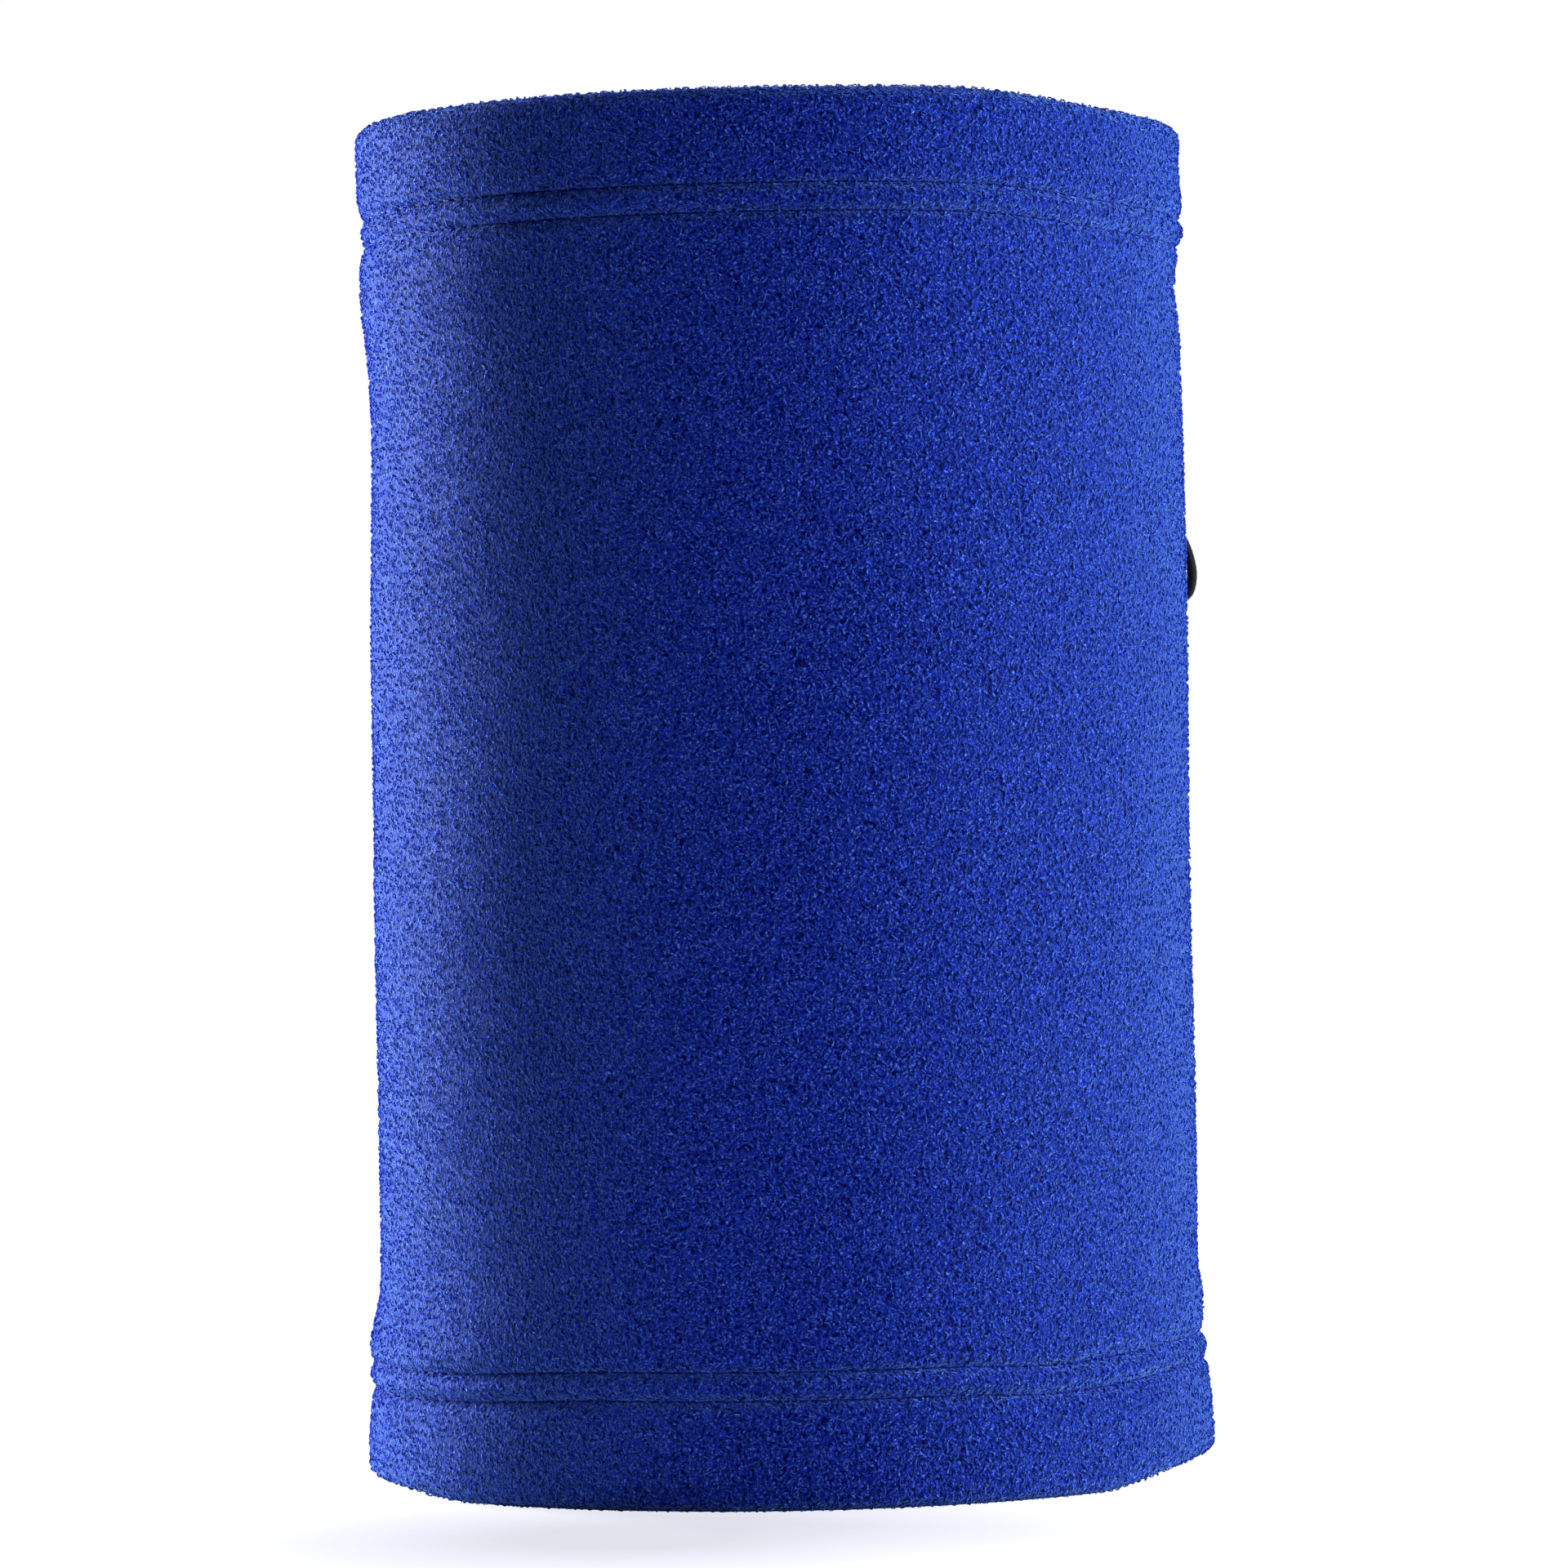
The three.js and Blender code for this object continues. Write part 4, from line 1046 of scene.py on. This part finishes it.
turn = add_node(STITCHING, "FunctionNodeAxesToRotation",
                {"Primary Axis": outward.outputs[0], "Secondary Axis": along},
                primary_axis="Z", secondary_axis="X")
least = add_node(STITCHING, "ShaderNodeMath", {0: 1.0, 1: given["Unevenness"]},
                 operation="SUBTRACT")
most = add_node(STITCHING, "ShaderNodeMath", {0: 1.0, 1: given["Unevenness"]}, operation="ADD")
size = add_node(STITCHING, "FunctionNodeRandomValue",
                {2: least.outputs[0], 3: most.outputs[0], "Seed": given["Seed"]},
                data_type="FLOAT")
placed = add_node(STITCHING, "GeometryNodeInstanceOnPoints",
                  {"Points": evenly.outputs[0], "Instance":
                   add_node(STITCHING, "GeometryNodeObjectInfo",
                            {"Object": given["Stitch"], "As Instance": True}).outputs["Geometry"],
                   "Rotation": turn.outputs[0], "Scale": size.outputs[1]})
real = add_node(STITCHING, "GeometryNodeRealizeInstances", {"Geometry": placed.outputs[0]})
coloured = add_node(STITCHING, "GeometryNodeSetMaterial", {"Geometry": real.outputs[0],
                                                       "Material": given["Thread"]})
STITCHING.links.new(coloured.outputs[0], gives["Geometry"])


def stitch_shape(line, thickness, sides=4, step=0.5):
    """One stitch, with X along the row, Y across it and Z out of the cloth."""
    return tube("stitch_shape", smooth_line(line, step), thickness / 2, sides)


def stitched(name, line, closed, shape, count, facing, unevenness, seed, node=None, thread=None):
    """A row of one stitch shape along a line, as a piece that rides on the gaiter."""
    mesh = bpy.data.meshes.new(name)
    n = len(line)
    mesh.from_pydata((np.array(line, float) * MM).tolist(),
                     [(i, (i + 1) % n) for i in range(n if closed else n - 1)], [])
    piece = place_object(name, mesh)
    run_tree(piece, STITCHING, Stitch=shape, Stitches=count, Facing=float(facing),
             Unevenness=unevenness, Seed=seed, Thread=thread or THREAD_BLUE)
    piece.data.shade_smooth()
    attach(piece, "gaiter")
    if node:
        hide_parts(node)
    bpy.data.objects.remove(shape)
    return piece


def ring_line(radius_of, z, count=720):
    """A level line round the draped tube, from the middle of a stitch."""
    turn = math.tau * (np.arange(count) + 0.5 * count / STITCHES) / count
    return np.stack(drape(radius_of(z) + 0 * turn, turn, z + 0 * turn), axis=-1)


def needle_stitch():
    """A straight stitch from hole to hole that dips into the cloth at both ends."""
    half = STITCH / 2
    return stitch_shape([(-half - 0.05, 0, -0.9), (-half + 0.15, 0.02, -0.15),
                         (-half + 0.7, 0.04, 0.1), (0, 0, 0.16), (half - 0.7, -0.04, 0.1),
                         (half - 0.15, -0.02, -0.15), (half + 0.05, 0, -0.9)],
                        NEEDLE_THREAD, 5, 0.6)


def looper_stitch():
    """The looper thread's one crossing from row to row and back, with its two bights."""
    half, gauge = STITCH / 2, (TOP_ROWS[1] - TOP_ROWS[0]) / 2
    return stitch_shape([(-half, -gauge + 0.1, 0.0), (-half + 0.5, -gauge - 0.55, 0.12),
                         (-half + 0.95, -gauge + 0.3, 0.22), (-0.25, gauge - 0.5, 0.26),
                         (0.15, gauge + 0.55, 0.16), (0.65, gauge + 0.1, 0.05),
                         (0.55, gauge - 1.2, 0.02), (half - 0.35, -gauge + 1.2, 0.02),
                         (half, -gauge + 0.1, 0.0)], LOOPER_THREAD, 4, 0.95)


def needle_loops():
    """The needle thread's loop inside, lying along its row over the looper thread."""
    half = STITCH / 2
    return stitch_shape([(-half + 0.2, -0.1, -0.3), (-half + 0.5, -0.35, 0.25), (0.2, -0.42, 0.38),
                         (half - 0.1, -0.12, 0.35), (half - 0.1, 0.12, 0.35), (0.2, 0.42, 0.38),
                         (-half + 0.5, 0.35, 0.25), (-half + 0.2, 0.1, -0.3)],
                        LOOP_THREAD, 4, 0.7)


for hem, rows, seed in (("bottom_hem", BOTTOM_ROWS, 3), ("top_hem", TOP_ROWS, 5)):
    for row, z in zip(("lower", "upper"), rows):
        stitched(
            f"{hem}_needle_stitches_{row}", ring_line(lambda z: wall_radius(z) - ROW_DEPTH, z),
            True, needle_stitch(), STITCHES, 1, 0.05, seed, f"{hem}_needle_thread_{row}")
        stitched(
            f"{hem}_needle_loops_{row}", ring_line(lambda z: turned_face(z) - 0.05, z), True,
            needle_loops(), STITCHES, -1, 0.06, seed + 20)
    stitched(
        f"{hem}_looper_stitches", ring_line(lambda z: turned_face(z) - 0.12, sum(rows) / 2), True,
        looper_stitch(), STITCHES, -1, 0.03, seed + 40, f"{hem}_looper_thread")

# ---- back seam -------------------------------------------------------------------------
# The panel's two edges are overlocked together and stand as a ridge inside the tube.
# The loopers wrap the ridge, and a needle row runs along each of its feet.
OVERLOCK_STITCH = 2.8
seam_top, seam_bottom = RAW_TOP - 1.2, RAW_BOTTOM + 1.2
seam_places = np.linspace(seam_bottom, seam_top, 60)


def seam_line(aside, lift):
    return [round_the_wall(SEAM + aside / BODY, inner_radius(z) - SEAM_RIDGE[1] - lift, z)
            for z in seam_places]


def overlock_stitch():
    half, edge = OVERLOCK_STITCH / 2, SEAM_RIDGE[0] - 0.3
    return stitch_shape([(-half, -edge, -0.6), (-half + 0.3, -edge + 0.5, 0.12), (-0.4, 0.0, 0.24),
                         (0.1, edge - 0.4, 0.16), (0.4, edge + 0.15, -0.4), (0.8, edge - 0.4, 0.1),
                         (0.75, 0.0, 0.1), (half - 0.1, -edge + 0.6, 0.05), (half, -edge, -0.6)],
                        LOOPER_THREAD, 4, 1.1)


def chain_stitch():
    half = OVERLOCK_STITCH / 2
    return stitch_shape([(-half, 0, -0.3), (-half + 0.4, 0.1, 0.2), (0, 0.05, 0.3),
                         (half - 0.3, -0.1, 0.2), (half + 0.1, 0, -0.3)],
                        NEEDLE_THREAD, 5, 0.6)


seam_stitches = round((seam_top - seam_bottom) / OVERLOCK_STITCH)
stitched("back_seam_overlock", seam_line(0, 0.1), False, overlock_stitch(),
                        seam_stitches, -1, 0.04, 61, "back_seam_thread")
for side in (-1, 1):
    stitched(f"back_seam_needle_row_{'left' if side < 0 else 'right'}",
                            seam_line(side * 1.6, 0.12), False, chain_stitch(), seam_stitches,
                            -1, 0.04, 63 + side)

# ---- drawcord in the hem ---------------------------------------------------------------
# The same elastic runs round inside the top hem from the back seam, one way the long way
# round and the other way a short way, and turns out through the eyelets. A satin-stitched
# tack holds both its ends to the wall.
TURN_RADIUS = 3.0


def hem_run(eyelet_angle, seam_angle):
    side = math.copysign(1, seam_angle - eyelet_angle)
    start = seam_angle - side * 0.3 / CHANNEL_CORD_RADIUS
    end = eyelet_angle + side * TURN_RADIUS / CHANNEL_CORD_RADIUS
    count = round(abs(start - end) * CHANNEL_CORD_RADIUS / 0.7)
    line = [np.array(drape(CHANNEL_CORD_RADIUS, a, EYELET_HEIGHT))
            for a in np.linspace(start, end, count)]
    out = np.array((math.cos(eyelet_angle), math.sin(eyelet_angle), 0))
    across = np.array((-out[1], out[0], 0)) * side
    for bend in np.linspace(0, math.pi / 2, 9)[1:]:
        line.append(out * (CHANNEL_CORD_RADIUS + TURN_RADIUS * (1 - math.cos(bend)))
                    + across * TURN_RADIUS * (1 - math.sin(bend))
                    + np.array((0, 0, EYELET_HEIGHT)))
    return line


for name, i, seam_angle in (("long", 0, SEAM - math.tau), ("short", 1, SEAM)):
    run = tube(f"drawcord_hem_{name}_braid",
               smooth_line(hem_run(eyelet_angles[i], seam_angle), 0.5), CORD / 2, 16,
               relief=braid(4, 0.12))
    run.data.materials.append(CORD_BLACK)
    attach(run, "gaiter")
    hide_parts(f"drawcord_hem_run_{name}")

TACK = (8.0, 4.0)
TACK_LIFT = 1.45
tack_line = [(x, CHANNEL_CORD_RADIUS + TACK_LIFT, EYELET_HEIGHT)
             for x in np.linspace(TACK[0] / 2, -TACK[0] / 2, 30)]
tack_edge = TACK[1] / 2
satin = stitch_shape([(-0.15, -tack_edge, -0.15), (-0.08, -tack_edge + 0.3, 0.1), (0, 0, 0.16),
                      (0.08, tack_edge - 0.3, 0.1), (0.15, tack_edge, -0.15)],
                     SATIN_THREAD, 5, 0.7)
stitched("drawcord_satin_tack", tack_line, False, satin, 26, 1, 0.02, 71, "drawcord_bartack")

# ---- care label ------------------------------------------------------------------------
# A blank white satin ribbon, folded in two with its ends caught in the back seam. It
# lies against the wall with its fold free, and one layer springs off the other a little.
LABEL = (20.0, 36.0)
LABEL_BOTTOM = 58.0
RIBBON = 0.2
label_radius = inner_radius(LABEL_BOTTOM + LABEL[1] / 2) - 0.75
from_seam_edge = 3.9
label_reach = LABEL[0] - 0.4


def label_middle(t):
    """The ribbon's middle line: out from the seam, round the fold and back, t from 0 to 1."""
    layer = 0.26 + 0.12 * math.sin(math.pi * min(1, 2 * min(t, 1 - t)))
    if t < 0.49:
        return label_reach * t / 0.49, layer
    if t > 0.51:
        return label_reach * (1 - t) / 0.49, -layer
    turn = math.pi * (t - 0.49) / 0.02
    return label_reach + layer * math.sin(turn), layer * math.cos(turn)


label_ts = [*np.linspace(0, 0.49, 26), *np.linspace(0.492, 0.508, 7), *np.linspace(0.51, 1, 26)]
label_rows = 46
verts = []
for k, t in enumerate(label_ts):
    run, layer = label_middle(t)
    ahead, behind = label_middle(min(1, t + 0.002)), label_middle(max(0, t - 0.002))
    tangent = Vector((ahead[0] - behind[0], ahead[1] - behind[1])).normalized()
    for j in range(label_rows + 1):
        up = LABEL[1] * j / label_rows
        curl = 0.18 * math.sin(up / 5.2 + 0.4) * run / LABEL[0] + 0.35 * (run / LABEL[0]) ** 2
        for side in (RIBBON / 2, -RIBBON / 2):
            across = run - tangent.y * side
            depth = layer + tangent.x * side + curl
            angle = SEAM - (from_seam_edge + across) / label_radius
            verts.append(round_the_wall(angle, label_radius - depth, LABEL_BOTTOM + up) * MM)


def ribbon_point(k, j, side):
    return (k * (label_rows + 1) + j) * 2 + side


last = len(label_ts) - 1
corners = [((k, j, side), (k + 1, j, side), (k + 1, j + 1, side), (k, j + 1, side))
           for k in range(last) for j in range(label_rows) for side in (0, 1)]
corners += [((k, j, 0), (k + 1, j, 0), (k + 1, j, 1), (k, j, 1))
            for k in range(last) for j in (0, label_rows)]
corners += [((k, j, 0), (k, j + 1, 0), (k, j + 1, 1), (k, j, 1))
            for k in (0, last) for j in range(label_rows)]
faces = [[ribbon_point(*corner) for corner in face] for face in corners]
label_mesh = bpy.data.meshes.new("care_label_ribbon")
label_mesh.from_pydata(verts, [], faces)
face_outwards(label_mesh)
label_mesh.shade_smooth()
label_mesh.set_sharp_from_angle(angle=math.radians(50))
label = place_object("care_label_ribbon", label_mesh)

RIBBON_WHITE, tree, shader = finish_material("label_satin_white", 0.42, Sheen_Weight=0.3,
                                             Sheen_Roughness=0.3)
place = add_node(tree, "ShaderNodeTexCoord").outputs["Object"]
warp = add_node(tree, "ShaderNodeTexWave", {"Vector": place, "Scale": 700.0, "Distortion": 0.6},
                wave_type="BANDS", bands_direction="Z").outputs["Fac"]
soil = add_node(tree, "ShaderNodeTexNoise",
                {"Vector": place, "Scale": 160.0, "Detail": 3.0}).outputs[0]
tree.links.new(mix_colour(tree, soil, (0.74, 0.73, 0.70, 1), (0.86, 0.855, 0.83, 1)),
               shader.inputs["Base Color"])
bump(tree, shader, warp, 0.00004)
label_mesh.materials.append(RIBBON_WHITE)
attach(label, "gaiter")
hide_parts("care_label")
